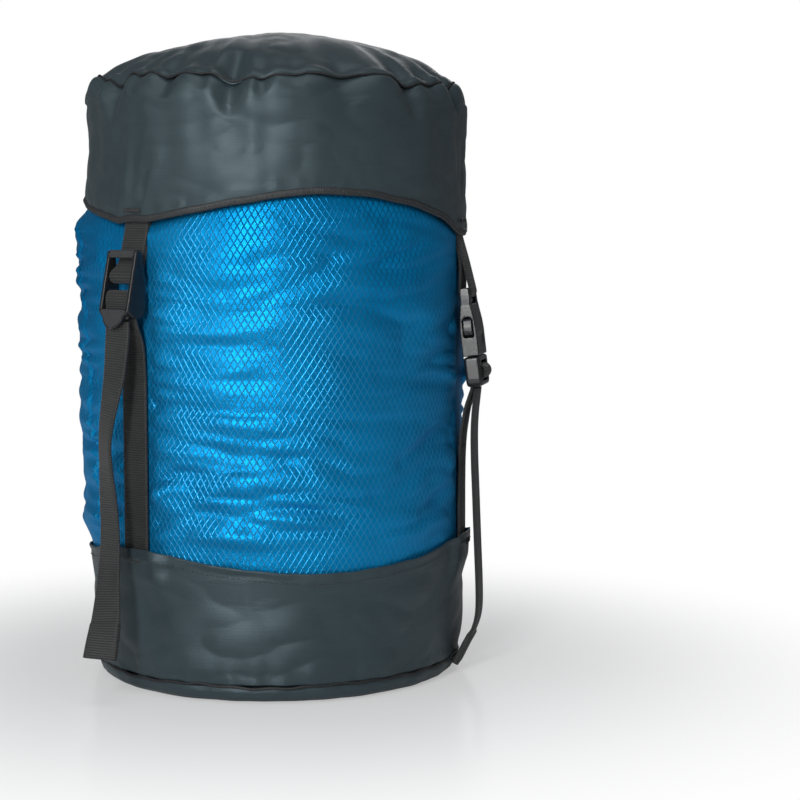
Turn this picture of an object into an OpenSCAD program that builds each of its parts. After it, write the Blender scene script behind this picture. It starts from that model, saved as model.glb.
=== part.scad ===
/* [Sack] */
// Radius of the stuffed cloth tube
tube_r = 92.5; // [88:0.5:97]
// How much narrower the tube is inside the base cup
cup_squeeze = 1.7; // [1:0.1:3]
// Thickness of the tube's cloth and the folds pressed into it
tube_t = 1.2; // [0.8:0.1:2]
// How far below the lid's lowest edge the tube starts to narrow
shoulder_drop = 15; // [10:1:25]
// Running clearance between soft pieces
soft_gap = 0.3; // [0.2:0.05:0.5]
// Radius of the gathered mouth's channel
mouth_r = 13; // [10:0.5:18]
// Radius of the closed mouth's middle
mouth_bore_r = 4; // [2:0.5:6]
// How far the mouth sinks below the top of the sack
mouth_depth = 11; // [8:0.5:14]

/* [Base] */
// How much smaller the base panel is than the stuffed tube
base_inset = 2.5; // [1.5:0.5:8]
// Radius that the base panel turns up with
base_turn_r = 6; // [4:0.5:8]
// Thickness of the base panel's cloth
base_t = 1.2; // [0.8:0.1:2]
// Height of the base seam's ridge
seam_h = 2; // [1.5:0.1:3]
// Radial depth of the base seam's ridge
seam_depth = 2.6; // [2:0.1:4]
// Thickness of the cup's cloth with its folded edge
cup_t = 1.2; // [0.8:0.1:2]
// Height of the cup's edge midway between the straps
cup_mid_z = 61; // [60:1:66]
// How much higher the cup's edge is at each strap
cup_rise = 9; // [7:0.5:14]
// How far below the cup's edge the tube starts to swell out
swell_drop = 15; // [10:1:25]

/* [Lid] */
// How far the lid's wall stands outside the stuffed tube
lid_overhang = 1.5; // [0.5:0.1:6]
// Thickness of the lid's cloth and lining
lid_t = 1.6; // [1:0.1:2]
// Height of the seam between the crown and the wall
rim_z = 286; // [270:1:300]
// Rise of the crown above its seam
crown_rise = 27; // [18:1:34]
// Roundness of the crown: 2 is a bowl, and more is flatter with a rounder edge
crown_power = 3.4; // [2.4:0.1:4.5]
// How much smaller the crown's seam is than the wall
crown_inset = 4; // [2:0.5:6]
// Radius that the wall turns in with below the crown's seam
rim_turn_r = 13; // [10:0.5:18]
// Height of the lid's wall midway between the straps
lid_wall_h = 52; // [41:1:56]
// How much lower the lid's edge is at each strap
hem_drop = 16; // [12:0.5:20]
// Height of the tape that binds the lid's edge
binding_h = 2.6; // [2:0.1:4]
// How far the binding stands proud of the wall on each side
binding_proud = 0.4; // [0.2:0.05:0.6]
// Height of the crown seam's ridge
rim_ridge = 1.8; // [1:0.1:3]

/* [Webbing] */
// Width of the webbing
web_w = 16; // [14:0.5:16]
// Thickness of the webbing
web_t = 1.5; // [1.2:0.1:1.6]
// Compass direction of the front strap, from +X
strap_turn = -135; // [-150:1:-120]
// How far the webbing is tucked under the cup's or lid's edge
tuck = 10.5; // [6:0.5:11]
// Clearance between webbing and the bar that it goes round
bar_gap = 0.1; // [0.05:0.05:0.2]
// Length of the bar-tack stitching
tack_w = 12; // [8:0.5:14]
// Height of the bar-tack stitching
tack_h = 2.4; // [1.5:0.1:4]
// Thickness of the bar-tack thread
tack_t = 0.7; // [0.4:0.1:1.2]

/* [Ladder lock] */
// Clearance between the lock's loop and the tube
lock_gap = 2.4; // [2:0.1:5]
// How far the loop bar hangs below the lid's lowest edge
lock_drop = 21.5; // [19:0.5:24]
// Lean of the ladder lock, its foot outwards
lock_lean = 12; // [8:0.5:14]
// Radius of the loop bar
loop_bar_r = 1.75; // [1.4:0.05:1.9]
// Thickness of each side rail
rail_t = 2; // [1.5:0.1:3]
// Clearance beside the webbing inside the lock
rail_gap = 0.2; // [0.1:0.05:0.5]
// Depth of the front plane outside the loop bar's axis
lock_front = 4.6; // [4.4:0.1:5]
// Height of the lock's top edge above the loop bar
lock_top = 11.7; // [11:0.1:12.5]
// Height of the top frame bar
top_bar_h = 3.7; // [3:0.1:4]
// Thickness of the top frame bar
top_bar_t = 2.1; // [1.6:0.1:2.2]
// Distance of the grip bar below the loop bar
grip_drop = 10.2; // [10:0.1:10.6]
// Height of the grip bar
grip_h = 4; // [3.4:0.1:4.4]
// Thickness of the grip bar
grip_t = 2; // [1.6:0.1:2.2]
// Length of the thumb tab
tab_len = 9; // [7:0.5:12]
// Width of the thumb tab
tab_w = 14; // [11:0.5:15]
// Thickness of the thumb tab
tab_t = 2; // [1.5:0.1:2.2]

/* [Side-release buckle] */
// Clearance between the buckle's loop and the tube
buckle_gap = 0.4; // [0.3:0.1:2.4]
// How far the buckle's mouth hangs below the lid's lowest edge
buckle_drop = 61; // [58:1:68]
// Lean of the buckle, its foot outwards
buckle_lean = 6.8; // [4:0.2:7]
// Width of the buckle
buckle_w = 25; // [24:0.5:28]
// Thickness of the buckle
buckle_t = 8; // [7.6:0.1:8.4]
// Height of the socket's hollow body
socket_h = 25; // [24:0.5:27]
// Wall of the socket
socket_wall = 1.5; // [1.2:0.1:1.7]
// Distance of the socket's loop bar above its hollow body
socket_slot = 6.3; // [5:0.1:8]
// Radius of the socket's loop bar
socket_bar_r = 1.8; // [1.5:0.05:2]
// Thickness of the roof over the socket's hollow
socket_roof = 3; // [2:0.5:4]
// Distance of the side window's middle below the prongs' tips
window_drop = 6; // [5.5:0.5:7]
// Height of the side window
window_h = 10; // [8:0.5:11]
// Opening between the plug's webbing bar and its foot
plug_throat = 2.4; // [2.1:0.1:4]
// Height of the plug's foot
plug_foot_h = 2.4; // [2:0.1:4]
// Distance of the plug's webbing bar below the mouth
plug_bar_drop = 8; // [7.8:0.1:8.4]
// Radius of the plug's webbing bar
plug_bar_r = 2.2; // [1.8:0.1:2.3]
// Clearance above the tips of the prongs
prong_play = 2; // [1:0.5:3]
// Thickness of each side prong
prong_t = 2; // [1.6:0.1:2.4]
// Clearance between the plug's moving faces and the socket
fit_gap = 0.3; // [0.2:0.05:0.4]

/* [Hidden] */

ROUND_FN = 96;
BAR_FN = 48;
black_nylon = "#2f3438";
blue_nylon = "#0f6fb0";
black_webbing = "#262a2b";
black_plastic = "#1b1c1e";
thread = "#15181a";

// Three straps, evenly spaced; the front one has the ladder lock.
straps = 3;
front_a = strap_turn;
right_a = strap_turn + 360 / straps;
rear_a = strap_turn + 2 * 360 / straps;

// Edges that follow the straps: 1 at a strap, 0 midway between two.
ring_steps = 96;
tab_half_a = 6;
arch_power = 1.7;
pocket_half_a = 8;
pocket_fade_a = 5;
function away(a, b) = abs(((a - b) % 360 + 540) % 360 - 180);
function strap_away(a) = min([for (s = [front_a, right_a, rear_a]) away(a, s)]);
function arch(a) = pow(1 - max(0, strap_away(a) - tab_half_a) / (180 / straps - tab_half_a), arch_power);
function pocket(a) = max(0, min(1, 1 - (strap_away(a) - pocket_half_a) / pocket_fade_a));
hem_mid_z = rim_z - lid_wall_h;
function hem_z(a) = hem_mid_z - hem_drop * arch(a);
function cup_z(a) = cup_mid_z + cup_rise * arch(a);
hem_tab_z = hem_mid_z - hem_drop;
cup_tab_z = cup_mid_z + cup_rise;

// A flat strap inside or outside a round wall: its edges stand further out than its middle.
half_w = web_w / 2;
function flat_inside(r) = sqrt(r * r - half_w * half_w);
strap_sag = tube_r - flat_inside(tube_r);

// Radii that follow from the layers at the base, the lid and the cup.
base_edge_r = tube_r - base_inset;
base_flat_r = base_edge_r - base_turn_r;
tube_low_r = tube_r - cup_squeeze;
lid_r = tube_r + lid_overhang;
crown_r = lid_r - crown_inset;
lid_in_r = lid_r - lid_t;
loop_out_r = flat_inside(lid_in_r) - soft_gap - web_t / 2;
loop_in_r = loop_out_r - web_t - bar_gap;
shoulder_r = loop_in_r - web_t / 2 - soft_gap;
leg_r = tube_r + soft_gap + web_t / 2;
pocket_depth = web_t + 2 * soft_gap + strap_sag;

socket_bar_z = socket_h + socket_slot;
plug_h = plug_bar_drop + plug_bar_r + plug_throat + plug_foot_h;
// Where the loop bar of the lock and the mouth of each side-release buckle are.
lock_pivot_r = tube_r + lock_gap + web_t + bar_gap + loop_bar_r;
lock_pivot_z = hem_tab_z - lock_drop;
buckle_r = tube_r + buckle_gap + web_t + bar_gap + socket_bar_r + socket_bar_z * sin(buckle_lean);
buckle_z = hem_tab_z - buckle_drop;

// Heights up the sack.
shoulder_z = hem_tab_z - shoulder_drop;
swell_z = cup_mid_z - swell_drop;
base_top_z = base_turn_r;
seam_top_z = base_top_z + seam_h + 2 * soft_gap;
swollen_z = cup_mid_z - 3;
leg_foot_z = cup_tab_z - tuck;
crown_top_z = rim_z + crown_rise;

// Rim of the lid: the wall turns in on an arc that ends at the crown's seam.
rim_turn_x = lid_r - rim_turn_r;
rim_turn_a = acos((crown_r - rim_turn_x) / rim_turn_r);
rim_turn_z = rim_z - rim_turn_r * sin(rim_turn_a);

// Outline of the tube's side, from the base seam to the shoulder.
tube_foot_r = base_edge_r - 1;
filled_z = 30;
function side_r(z) = lookup(z, [
    [seam_top_z, tube_foot_r], [filled_z, tube_low_r], [swell_z, tube_low_r],
    [swollen_z, tube_r], [shoulder_z, tube_r], [hem_tab_z, shoulder_r]
]);

dome_steps = 14;
function crown_z(r) = rim_z + crown_rise * (1 - pow(r / crown_r, crown_power));
function dome(r0, r1, drop) = [
    for (i = [0:dome_steps]) let (r = r0 + (r1 - r0) * i / dome_steps) [r, crown_z(r) - drop]
];
function reverse(p) = [for (i = [len(p) - 1:-1:0]) p[i]];
function arc(c, r, a0, a1, n) = [
    for (i = [0:n]) let (a = a0 + (a1 - a0) * i / n) c + r * [cos(a), sin(a)]
];

// Top of the stuffed tube: it follows the crown, then sinks to the gathered mouth.
mouth_lip_r = mouth_r + soft_gap;
mouth_slope = 11;
top_edge_r = shoulder_r - 8.5;
mouth_z = crown_top_z - lid_t - mouth_depth;
turn_low_z = rim_turn_z - 4;
turn_mid_r = shoulder_r - 2.5;
turn_mid_z = rim_z - 3;
function stuffed_outline(d) = concat(
    [for (z = [seam_top_z, filled_z, swell_z, swollen_z, shoulder_z, hem_tab_z]) [side_r(z) - d, z]],
    [[shoulder_r - d, turn_low_z], [turn_mid_r - d, turn_mid_z - d / 2]],
    dome(top_edge_r - d, mouth_lip_r + mouth_slope, lid_t + soft_gap + d),
    [[mouth_lip_r, mouth_z - d]]
);

// A closed ring whose outline changes round the sack.
module ring(sections) {
    n = len(sections);
    k = len(sections[0]);
    polyhedron(
        points = [
            for (j = [0:n - 1]) let (a = 360 * j / n) for (p = sections[j]) [p[0] * cos(a), p[0] * sin(a), p[1]]
        ],
        faces = [
            for (j = [0:n - 1], i = [0:k - 1])
                for (f = [[[j, i], [j + 1, i + 1], [j + 1, i]], [[j, i], [j, i + 1], [j + 1, i + 1]]])
                    [for (v = f) (v[0] % n) * k + v[1] % k]
        ]
    );
}

// Webbing that bends in one plane: a line of [distance from the axis, height] with the webbing's thickness.
function unit(v) = v / norm(v);
function across(p, i) =
    let (d = unit(p[min(i + 1, len(p) - 1)] - p[max(i - 1, 0)])) [d[1], -d[0]] * web_t / 2;
function ribbon(p) = concat(
    [for (i = [0:len(p) - 1]) p[i] + across(p, i)],
    [for (i = [len(p) - 1:-1:0]) p[i] - across(p, i)]
);
module plate(outline, width) rotate([90, 0, 0]) linear_extrude(height = width, center = true) polygon(outline);
module webbing(p) color(black_webbing) plate(ribbon(p), web_w);

// Free webbing that also turns about its length: points of
// [distance from the axis, sideways, height, turn of its face], the last ones its folded end.
module free_webbing(route) {
    n = len(route);
    function place(i) = [route[i][0], route[i][1], route[i][2]];
    function side(i) = [-sin(route[i][3]), cos(route[i][3]), 0];
    function along(i) = unit(place(min(i + 1, n - 1)) - place(max(i - 1, 0)));
    function out(i) = unit(cross(side(i), along(i)));
    function thick(i) = (i >= n - hem_points ? 2 : 1) * web_t / 2;
    points = [
        for (i = [0:n - 1], c = [[-1, -1], [1, -1], [1, 1], [-1, 1]])
            place(i) + side(i) * c[0] * half_w + out(i) * c[1] * thick(i)
    ];
    faces = concat(
        [[0, 2, 1], [0, 3, 2]],
        [
            for (i = [0:n - 2], c = [0:3])
                for (f = [[0, c, 1, c, 1, c + 1], [0, c, 1, c + 1, 0, c + 1]])
                    [for (v = [2, 1, 0]) (i + f[2 * v]) * 4 + f[2 * v + 1] % 4]
        ],
        [[4 * n - 4, 4 * n - 3, 4 * n - 2], [4 * n - 4, 4 * n - 2, 4 * n - 1]]
    );
    color(black_webbing) polyhedron(points = points, faces = faces);
}

// Moves a point of a leaning buckle's own plane into the plane of its strap.
function leaned(p, lean, at) = at + [p[0] * cos(lean) - p[1] * sin(lean), p[0] * sin(lean) + p[1] * cos(lean)];
module at_strap(a) rotate([0, 0, a]) children();
module lock_place() at_strap(front_a)
    translate([lock_pivot_r, 0, lock_pivot_z]) rotate([0, -lock_lean, 0]) children();
module buckle_place(a) at_strap(a)
    translate([buckle_r, 0, buckle_z]) rotate([0, -buckle_lean, 0]) children();

// Bar along the webbing's width, and a flat one with round edges.
module bar(x, z, r, length) translate([x, 0, z]) rotate([90, 0, 0])
    cylinder(h = length, r = r, center = true, $fn = BAR_FN);
module flat_bar(x, z, thickness, height, length) translate([x, 0, z]) rotate([90, 0, 0])
    linear_extrude(height = length, center = true) {
        square([thickness, height - thickness], center = true);
        for (s = [-1, 1]) translate([0, s * (height - thickness) / 2]) circle(d = thickness, $fn = BAR_FN);
    }

// Bodies of the sack

module packed_load() {
    inset = tube_t + soft_gap;
    floor_z = base_t + soft_gap;
    foot_r = base_flat_r - inset;
    color("#3f4a52") rotate_extrude($fn = ROUND_FN) polygon(concat(
        [[0, floor_z], [foot_r, floor_z]],
        stuffed_outline(inset),
        [[0, mouth_z - inset]]
    ));
}

module body_tube() color(blue_nylon) rotate_extrude($fn = ROUND_FN)
    polygon(concat(stuffed_outline(0), reverse(stuffed_outline(tube_t))));

module mouth_channel() {
    low_z = mouth_z - tube_t;
    high_z = crown_top_z - lid_t - soft_gap;
    edge = 2;
    color(blue_nylon) rotate_extrude($fn = ROUND_FN) polygon([
        [mouth_bore_r, low_z], [mouth_r, low_z], [mouth_r, high_z - edge],
        [mouth_r - edge, high_z], [mouth_bore_r, high_z]
    ]);
}

module base_panel() {
    c = [base_flat_r, base_turn_r];
    turn_steps = 8;
    color(black_nylon) rotate_extrude($fn = ROUND_FN) polygon(concat(
        [[0, 0]],
        arc(c, base_turn_r, -90, 0, turn_steps),
        arc(c, base_turn_r - base_t, 0, -90, turn_steps),
        [[0, base_t]]
    ));
}

module base_seam() color(thread) translate([0, 0, base_top_z + soft_gap]) rotate_extrude($fn = ROUND_FN)
    translate([base_edge_r - seam_depth / 2, seam_h / 2]) {
        square([seam_depth - seam_h, seam_h], center = true);
        for (s = [-1, 1]) translate([s * (seam_depth - seam_h) / 2, 0]) circle(d = seam_h, $fn = BAR_FN);
    }

module cup_wall() {
    function levels(a) = [
        [seam_top_z, 0], [filled_z, 0], [swell_z, 0],
        [swollen_z, 1], [(swollen_z + cup_z(a)) / 2, 1], [cup_z(a), 1]
    ];
    function in_r(a, v) = side_r(v[0]) + soft_gap + pocket_depth * pocket(a) * v[1];
    color(black_nylon) ring([
        for (j = [0:ring_steps - 1]) let (a = 360 * j / ring_steps) concat(
            [for (v = levels(a)) [in_r(a, v) + cup_t, v[0]]],
            reverse([for (v = levels(a)) [in_r(a, v), v[0]]])
        )
    ]);
}

// The load-bearing run of each strap, from under the cup's edge up to its buckle.
lock_at = [lock_pivot_r, lock_pivot_z];
buckle_at = [buckle_r, buckle_z];
grip_x = lock_front - 3.7;
wrap_foot_lock = [grip_x - 2.8, -grip_drop - 4.4];
plug_bar_x = buckle_t / 2 - 1.6;
wrap_foot_plug = [plug_bar_x - 4.6, -plug_h - 0.5];
leg_end_gap = 0.4;
lock_leg_bend = [46, 32];
buckle_leg_bend = [52, 38];

module front_leg() at_strap(front_a) webbing([
    [leg_r, leg_foot_z], [leg_r, lock_pivot_z - lock_leg_bend[0]], [leg_r + 1, lock_pivot_z - lock_leg_bend[1]],
    leaned(wrap_foot_lock + [-1.6, -6], lock_lean, lock_at),
    leaned(wrap_foot_lock + [-0.15, -leg_end_gap], lock_lean, lock_at)
]);
module buckle_leg(a) at_strap(a) webbing([
    [leg_r, leg_foot_z], [leg_r, buckle_z - buckle_leg_bend[0]], [leg_r + 0.8, buckle_z - buckle_leg_bend[1]],
    leaned(wrap_foot_plug + [-4, -8], buckle_lean, buckle_at),
    leaned(wrap_foot_plug + [-0.2, -leg_end_gap], buckle_lean, buckle_at)
]);
module right_leg() buckle_leg(right_a);
module rear_leg() buckle_leg(rear_a);

// Bar tacks hold the webbing under the edges of the cup and the lid.
module tack(a, r, z) color(thread) at_strap(a)
    translate([r + tack_t / 2, 0, z]) rotate([90, 0, 0]) cube([tack_t, tack_h, tack_w], center = true);
tack_inset = 5;
cup_tack_r = tube_r + 2 * soft_gap + pocket_depth + cup_t;
lid_tack_r = lid_r + soft_gap;
module front_cup_tack() tack(front_a, cup_tack_r, cup_tab_z - tack_inset);
module right_cup_tack() tack(right_a, cup_tack_r, cup_tab_z - tack_inset);
module rear_cup_tack() tack(rear_a, cup_tack_r, cup_tab_z - tack_inset);

// Lid

module lid_crown() color(black_nylon) rotate_extrude($fn = ROUND_FN)
    polygon(concat(dome(0, crown_r - rim_ridge, 0), reverse(dome(0, crown_r - rim_ridge, lid_t))));

module lid_rim_seam() {
    r = crown_r - rim_ridge / 2;
    color(thread) rotate_extrude($fn = ROUND_FN)
        translate([r + soft_gap, crown_z(r)]) circle(d = rim_ridge, $fn = BAR_FN);
}

module lid_wall() {
    turn_steps = 5;
    top_a = rim_turn_a - 6;
    function side(a, r, turn) = concat(
        [[r, hem_z(a) + binding_h + soft_gap], [r, (hem_z(a) + rim_turn_z) / 2]],
        arc([rim_turn_x, rim_turn_z], turn, 0, top_a, turn_steps)
    );
    color(black_nylon) ring([
        for (j = [0:ring_steps - 1]) let (a = 360 * j / ring_steps)
            concat(side(a, lid_r, rim_turn_r), reverse(side(a, lid_in_r, rim_turn_r - lid_t)))
    ]);
}

// The binding stands proud on the outside only, so that the webbing can lie behind it.
module lid_hem_binding() color(thread) ring([
    for (j = [0:ring_steps - 1]) let (a = 360 * j / ring_steps, r = lid_r + binding_proud) [
        [lid_in_r, hem_z(a)], [r, hem_z(a)], [r, hem_z(a) + binding_h], [lid_in_r, hem_z(a) + binding_h]
    ]
]);

// A folded length of webbing sewn inside the lid's edge, holding a round bar in its fold.
loop_steps = 14;
module lid_loop(a, c, bar_r) {
    r = bar_r + bar_gap + web_t / 2;
    top_z = hem_tab_z + tuck;
    front = [leg_r + web_t + 2 * bar_gap, shoulder_z];
    back = [leg_r, shoulder_z];
    function bearing(p) = atan2(p[1] - c[1], p[0] - c[0]);
    function spread(p) = acos(r / norm(p - c));
    at_strap(a) webbing(concat(
        [[loop_out_r, top_z], [loop_out_r, hem_tab_z - 1], front],
        arc(c, r, bearing(front) - spread(front), bearing(back) + spread(back) - 360, loop_steps),
        [back, [loop_in_r, hem_tab_z - 1], [loop_in_r, top_z]]
    ));
}
socket_bar_at = leaned([0, socket_bar_z], buckle_lean, buckle_at);
module front_lid_loop() lid_loop(front_a, lock_at, loop_bar_r);
module right_lid_loop() lid_loop(right_a, socket_bar_at, socket_bar_r);
module rear_lid_loop() lid_loop(rear_a, socket_bar_at, socket_bar_r);

lid_tack_z = hem_tab_z + tack_inset + 1;
module front_lid_tack() tack(front_a, lid_tack_r, lid_tack_z);
module right_lid_tack() tack(right_a, lid_tack_r, lid_tack_z);
module rear_lid_tack() tack(rear_a, lid_tack_r, lid_tack_z);

// Ladder lock: two side rails, the loop bar, the top frame bar, the grip bar and the thumb tab.

lock_inner = web_w + 2 * rail_gap;
module ladder_lock() {
    foot_z = -grip_drop - grip_h / 2 - 6.2;
    tab_top_z = foot_z + 2.4;
    module rail() plate([
        [lock_front, lock_top - 1], [lock_front - 1, lock_top], [1.5, lock_top], [-1, 5], [-3.5, 0],
        [-6.4, foot_z + 4], [-5.6, foot_z + 1], [-3.4, foot_z - 0.6], [0.6, foot_z - 0.4],
        [lock_front, foot_z + 2]
    ], rail_t);
    color(black_plastic) lock_place() {
        for (s = [-1, 1]) translate([0, s * (lock_inner + rail_t) / 2, 0]) rail();
        bar(0, 0, loop_bar_r, lock_inner + rail_t);
        translate([lock_front - top_bar_t / 2, 0, lock_top - top_bar_h / 2])
            cube([top_bar_t, lock_inner + rail_t, top_bar_h], center = true);
        flat_bar(grip_x, -grip_drop, grip_t, grip_h, lock_inner + rail_t);
        translate([lock_front - tab_t, 0, 0]) rotate([90, 0, 90]) linear_extrude(height = tab_t) {
            translate([-(lock_inner + rail_t) / 2, foot_z]) square([lock_inner + rail_t, tab_top_z - foot_z]);
            intersection() {
                translate([-tab_w / 2, tab_top_z - tab_len]) square([tab_w, tab_len]);
                translate([0, tab_top_z - tab_len + tab_w / 2]) union() {
                    circle(d = tab_w, $fn = BAR_FN);
                    translate([-tab_w / 2, 0]) square([tab_w, tab_len]);
                }
            }
        }
    }
}

// Where the webbing goes up behind the grip bar, over it, and back down behind the thumb tab.
lock_tail_at = [lock_front - tab_t - web_t / 2 - 0.25, -20];
module front_wrap() {
    r = grip_t / 2 + bar_gap + web_t / 2;
    top = [grip_x, -grip_drop + (grip_h - grip_t) / 2];
    low = [grip_x, -grip_drop - (grip_h - grip_t) / 2];
    wrap_steps = 10;
    path = concat(
        [wrap_foot_lock, low + [-r, -0.6]],
        arc(top, r, 180, 0, wrap_steps),
        arc(low, r, 0, -38, 4),
        [lock_tail_at + [0.1, 4.6], lock_tail_at + [0, 3.2], lock_tail_at]
    );
    at_strap(front_a) webbing([for (p = path) leaned(p, lock_lean, lock_at)]);
}

// Free ends, as points of [distance outside the loop bar or the buckle's middle, sideways,
// share of the height of its start in percent, turn of the face].
hem_points = 3;
front_route = [
    [5.3, 0, 100, 0], [5.2, 0, 97, 0], [5.7, -0.5, 92, -2], [6.7, -1, 86, -6], [8.2, -2, 80, -12],
    [9.7, -3, 74, -18], [10.2, -4, 68, -22], [9.7, -4, 61, -20], [9.2, -3.5, 54, -14],
    [9.2, -2.5, 47, -11], [9.7, -2, 40, -8], [11.7, -1, 32.5, -3], [14.2, 0.5, 25.5, 6], [16.7, 2, 20.5, 16],
    [19.2, 3, 16.5, 25], [21.7, 4, 12.5, 32]
];
side_route = [
    [1.5, 0, 100, 0], [1, 0, 96.5, 0], [0.2, 0, 91, 0], [-0.2, 0, 84, 0], [0, 0, 74.5, 0],
    [0.6, 0, 64, 0], [1.2, 0, 53, 0], [1.8, 0, 42.5, 0], [2.4, 0, 32, 0], [2.5, 0, 23.5, 0],
    [1.6, 0, 18.5, 0], [-0.6, 0, 14, 0], [-3.6, 0, 10, 0], [-6.4, 0, 6, 0], [-8.4, 0, 3.2, 0]
];
front_tail_z = lock_pivot_z - 20.5;
side_tail_z = buckle_z - plug_h - 1;
function hung(route, r, top_z) = [for (p = route) [r + p[0], p[1], top_z * p[2] / 100, p[3]]];
module front_tail() at_strap(front_a) free_webbing(hung(front_route, lock_pivot_r, front_tail_z));
module right_tail() at_strap(right_a) free_webbing(hung(side_route, buckle_r, side_tail_z));
module rear_tail() at_strap(rear_a) free_webbing(hung(side_route, buckle_r, side_tail_z));

// Side-release buckle

socket_in_w = buckle_w - 2 * (socket_wall + fit_gap);
socket_in_t = buckle_t - 2 * socket_wall;
socket_hollow_z = socket_h - socket_roof;
prong_len = socket_hollow_z - prong_play;
window_z = prong_len - window_drop;
window_w = socket_in_t;
opening_w = web_w + 2 * rail_gap;
cheek_w = (buckle_w - opening_w) / 2;
module rounded(w, t, r) {
    square([w - 2 * r, t], center = true);
    square([w, t - 2 * r], center = true);
    for (x = [-1, 1], y = [-1, 1]) translate([x * (w / 2 - r), y * (t / 2 - r)]) circle(r = r, $fn = BAR_FN);
}
module socket(a) {
    corner = 2.4;
    top_z = socket_bar_z + socket_bar_r;
    back = -buckle_t / 2;
    slim = 1.5;
    slot_h = top_z - socket_h + 1;
    window_depth = 4 * socket_wall + 2 * fit_gap;
    window_corner = 0.8;
    color(black_plastic) buckle_place(a) {
        difference() {
            intersection() {
                rotate([0, 0, 90]) linear_extrude(height = top_z) rounded(buckle_w, buckle_t, corner);
                plate([
                    [back, 0], [-back, 0], [-back, window_z], [-back - slim, socket_h], [-back - slim, top_z],
                    [back + slim, top_z], [back + slim, socket_h], [back, window_z]
                ], buckle_w);
            }
            translate([0, 0, socket_hollow_z / 2 - 1])
                cube([socket_in_t, socket_in_w, socket_hollow_z + 2], center = true);
            for (s = [-1, 1]) translate([0, s * buckle_w / 2, window_z]) rotate([90, 0, 0])
                linear_extrude(height = window_depth, center = true) rounded(window_w, window_h, window_corner);
            translate([0, 0, socket_h + slot_h / 2]) cube([buckle_t + 1, opening_w, slot_h], center = true);
        }
        bar(0, socket_bar_z, socket_bar_r, buckle_w - 2 * corner);
    }
}
module right_socket() socket(right_a);
module rear_socket() socket(rear_a);

plug_shelf = 2.6;
prong_y = socket_in_w / 2 - fit_gap - prong_t / 2;
prong_x_t = window_w - 2 * fit_gap;
prong_root_z = 1.6;
prong_root_r = 1;
module plug(a) {
    corner = 2.4;
    tongue_w = 4;
    tongue_t = 2;
    color(black_plastic) buckle_place(a) {
        difference() {
            rotate([0, 0, 90]) translate([0, 0, -plug_h]) linear_extrude(height = plug_h - fit_gap)
                rounded(buckle_w, buckle_t, corner);
            translate([0, 0, -plug_shelf - plug_h / 2]) cube([buckle_t + 1, opening_w, plug_h], center = true);
        }
        bar(plug_bar_x, -plug_bar_drop, plug_bar_r, buckle_w - cheek_w);
        translate([plug_bar_x, 0, -plug_h + plug_foot_h / 2])
            cube([2 * (buckle_t / 2 - plug_bar_x), opening_w, plug_foot_h], center = true);
        translate([0, 0, prong_len / 2 - fit_gap / 2 - 0.5])
            cube([tongue_t, tongue_w, prong_len - fit_gap], center = true);
    }
}
module right_plug() plug(right_a);
module rear_plug() plug(rear_a);

// Springy side prong with the button that fills the socket's window.
module prong(a, s) {
    button_h = window_h - 2 * fit_gap;
    button_out = 0.8;
    outer_y = prong_y + prong_t / 2;
    button_y = buckle_w / 2 + button_out;
    slope = 2;
    low_z = window_z - button_h / 2;
    high_z = window_z + button_h / 2;
    color(black_plastic) buckle_place(a) scale([1, s, 1]) {
        rotate([90, 0, 90]) linear_extrude(height = prong_x_t, center = true) polygon([
            [outer_y - prong_t, prong_root_z], [outer_y, prong_root_z], [outer_y, low_z],
            [button_y - 0.6, low_z + slope / 2], [button_y, window_z - 1], [button_y, window_z + 1],
            [button_y - 0.6, high_z - slope / 2], [outer_y, high_z], [outer_y - 0.8, prong_len - 1],
            [outer_y - prong_t, prong_len]
        ]);
        translate([0, prong_y, prong_root_z]) rotate([0, 90, 0])
            cylinder(h = prong_x_t, r = prong_root_r, center = true, $fn = BAR_FN);
    }
}
module right_prong_front() prong(right_a, -1);
module right_prong_back() prong(right_a, 1);
module rear_prong_left() prong(rear_a, 1);
module rear_prong_right() prong(rear_a, -1);

// Where the webbing goes up inside the plug, out round its bar, and back down on the inside.
plug_tail_at = [plug_bar_x - 2.75, -plug_h - 0.5];
module plug_wrap(a) {
    r = plug_bar_r + bar_gap + web_t / 2;
    c = [plug_bar_x, -plug_bar_drop];
    wrap_steps = 14;
    path = concat(
        [wrap_foot_plug, wrap_foot_plug + [0, 5], c + [-4.3, -0.2], c + [-3.5, 1.7], c + [-1.9, 2.75]],
        arc(c, r, 95, -70, wrap_steps),
        [c + [-0.9, -3.5], c + [-2.5, -4.3], plug_tail_at + [0, 2.4], plug_tail_at]
    );
    at_strap(a) webbing([for (p = path) leaned(p, buckle_lean, buckle_at)]);
}
module right_wrap() plug_wrap(right_a);
module rear_wrap() plug_wrap(rear_a);

packed_load();
body_tube();
mouth_channel();
base_panel();
base_seam();
cup_wall();
front_leg();
right_leg();
rear_leg();
front_cup_tack();
right_cup_tack();
rear_cup_tack();
lid_crown();
lid_rim_seam();
lid_wall();
lid_hem_binding();
front_lid_loop();
right_lid_loop();
rear_lid_loop();
front_lid_tack();
right_lid_tack();
rear_lid_tack();
ladder_lock();
front_wrap();
front_tail();
right_socket();
right_plug();
right_prong_front();
right_prong_back();
right_wrap();
right_tail();
rear_socket();
rear_plug();
rear_prong_left();
rear_prong_right();
rear_wrap();
rear_tail();
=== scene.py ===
import math

import bpy
import numpy as np
from mathutils import Matrix, Vector, noise


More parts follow.
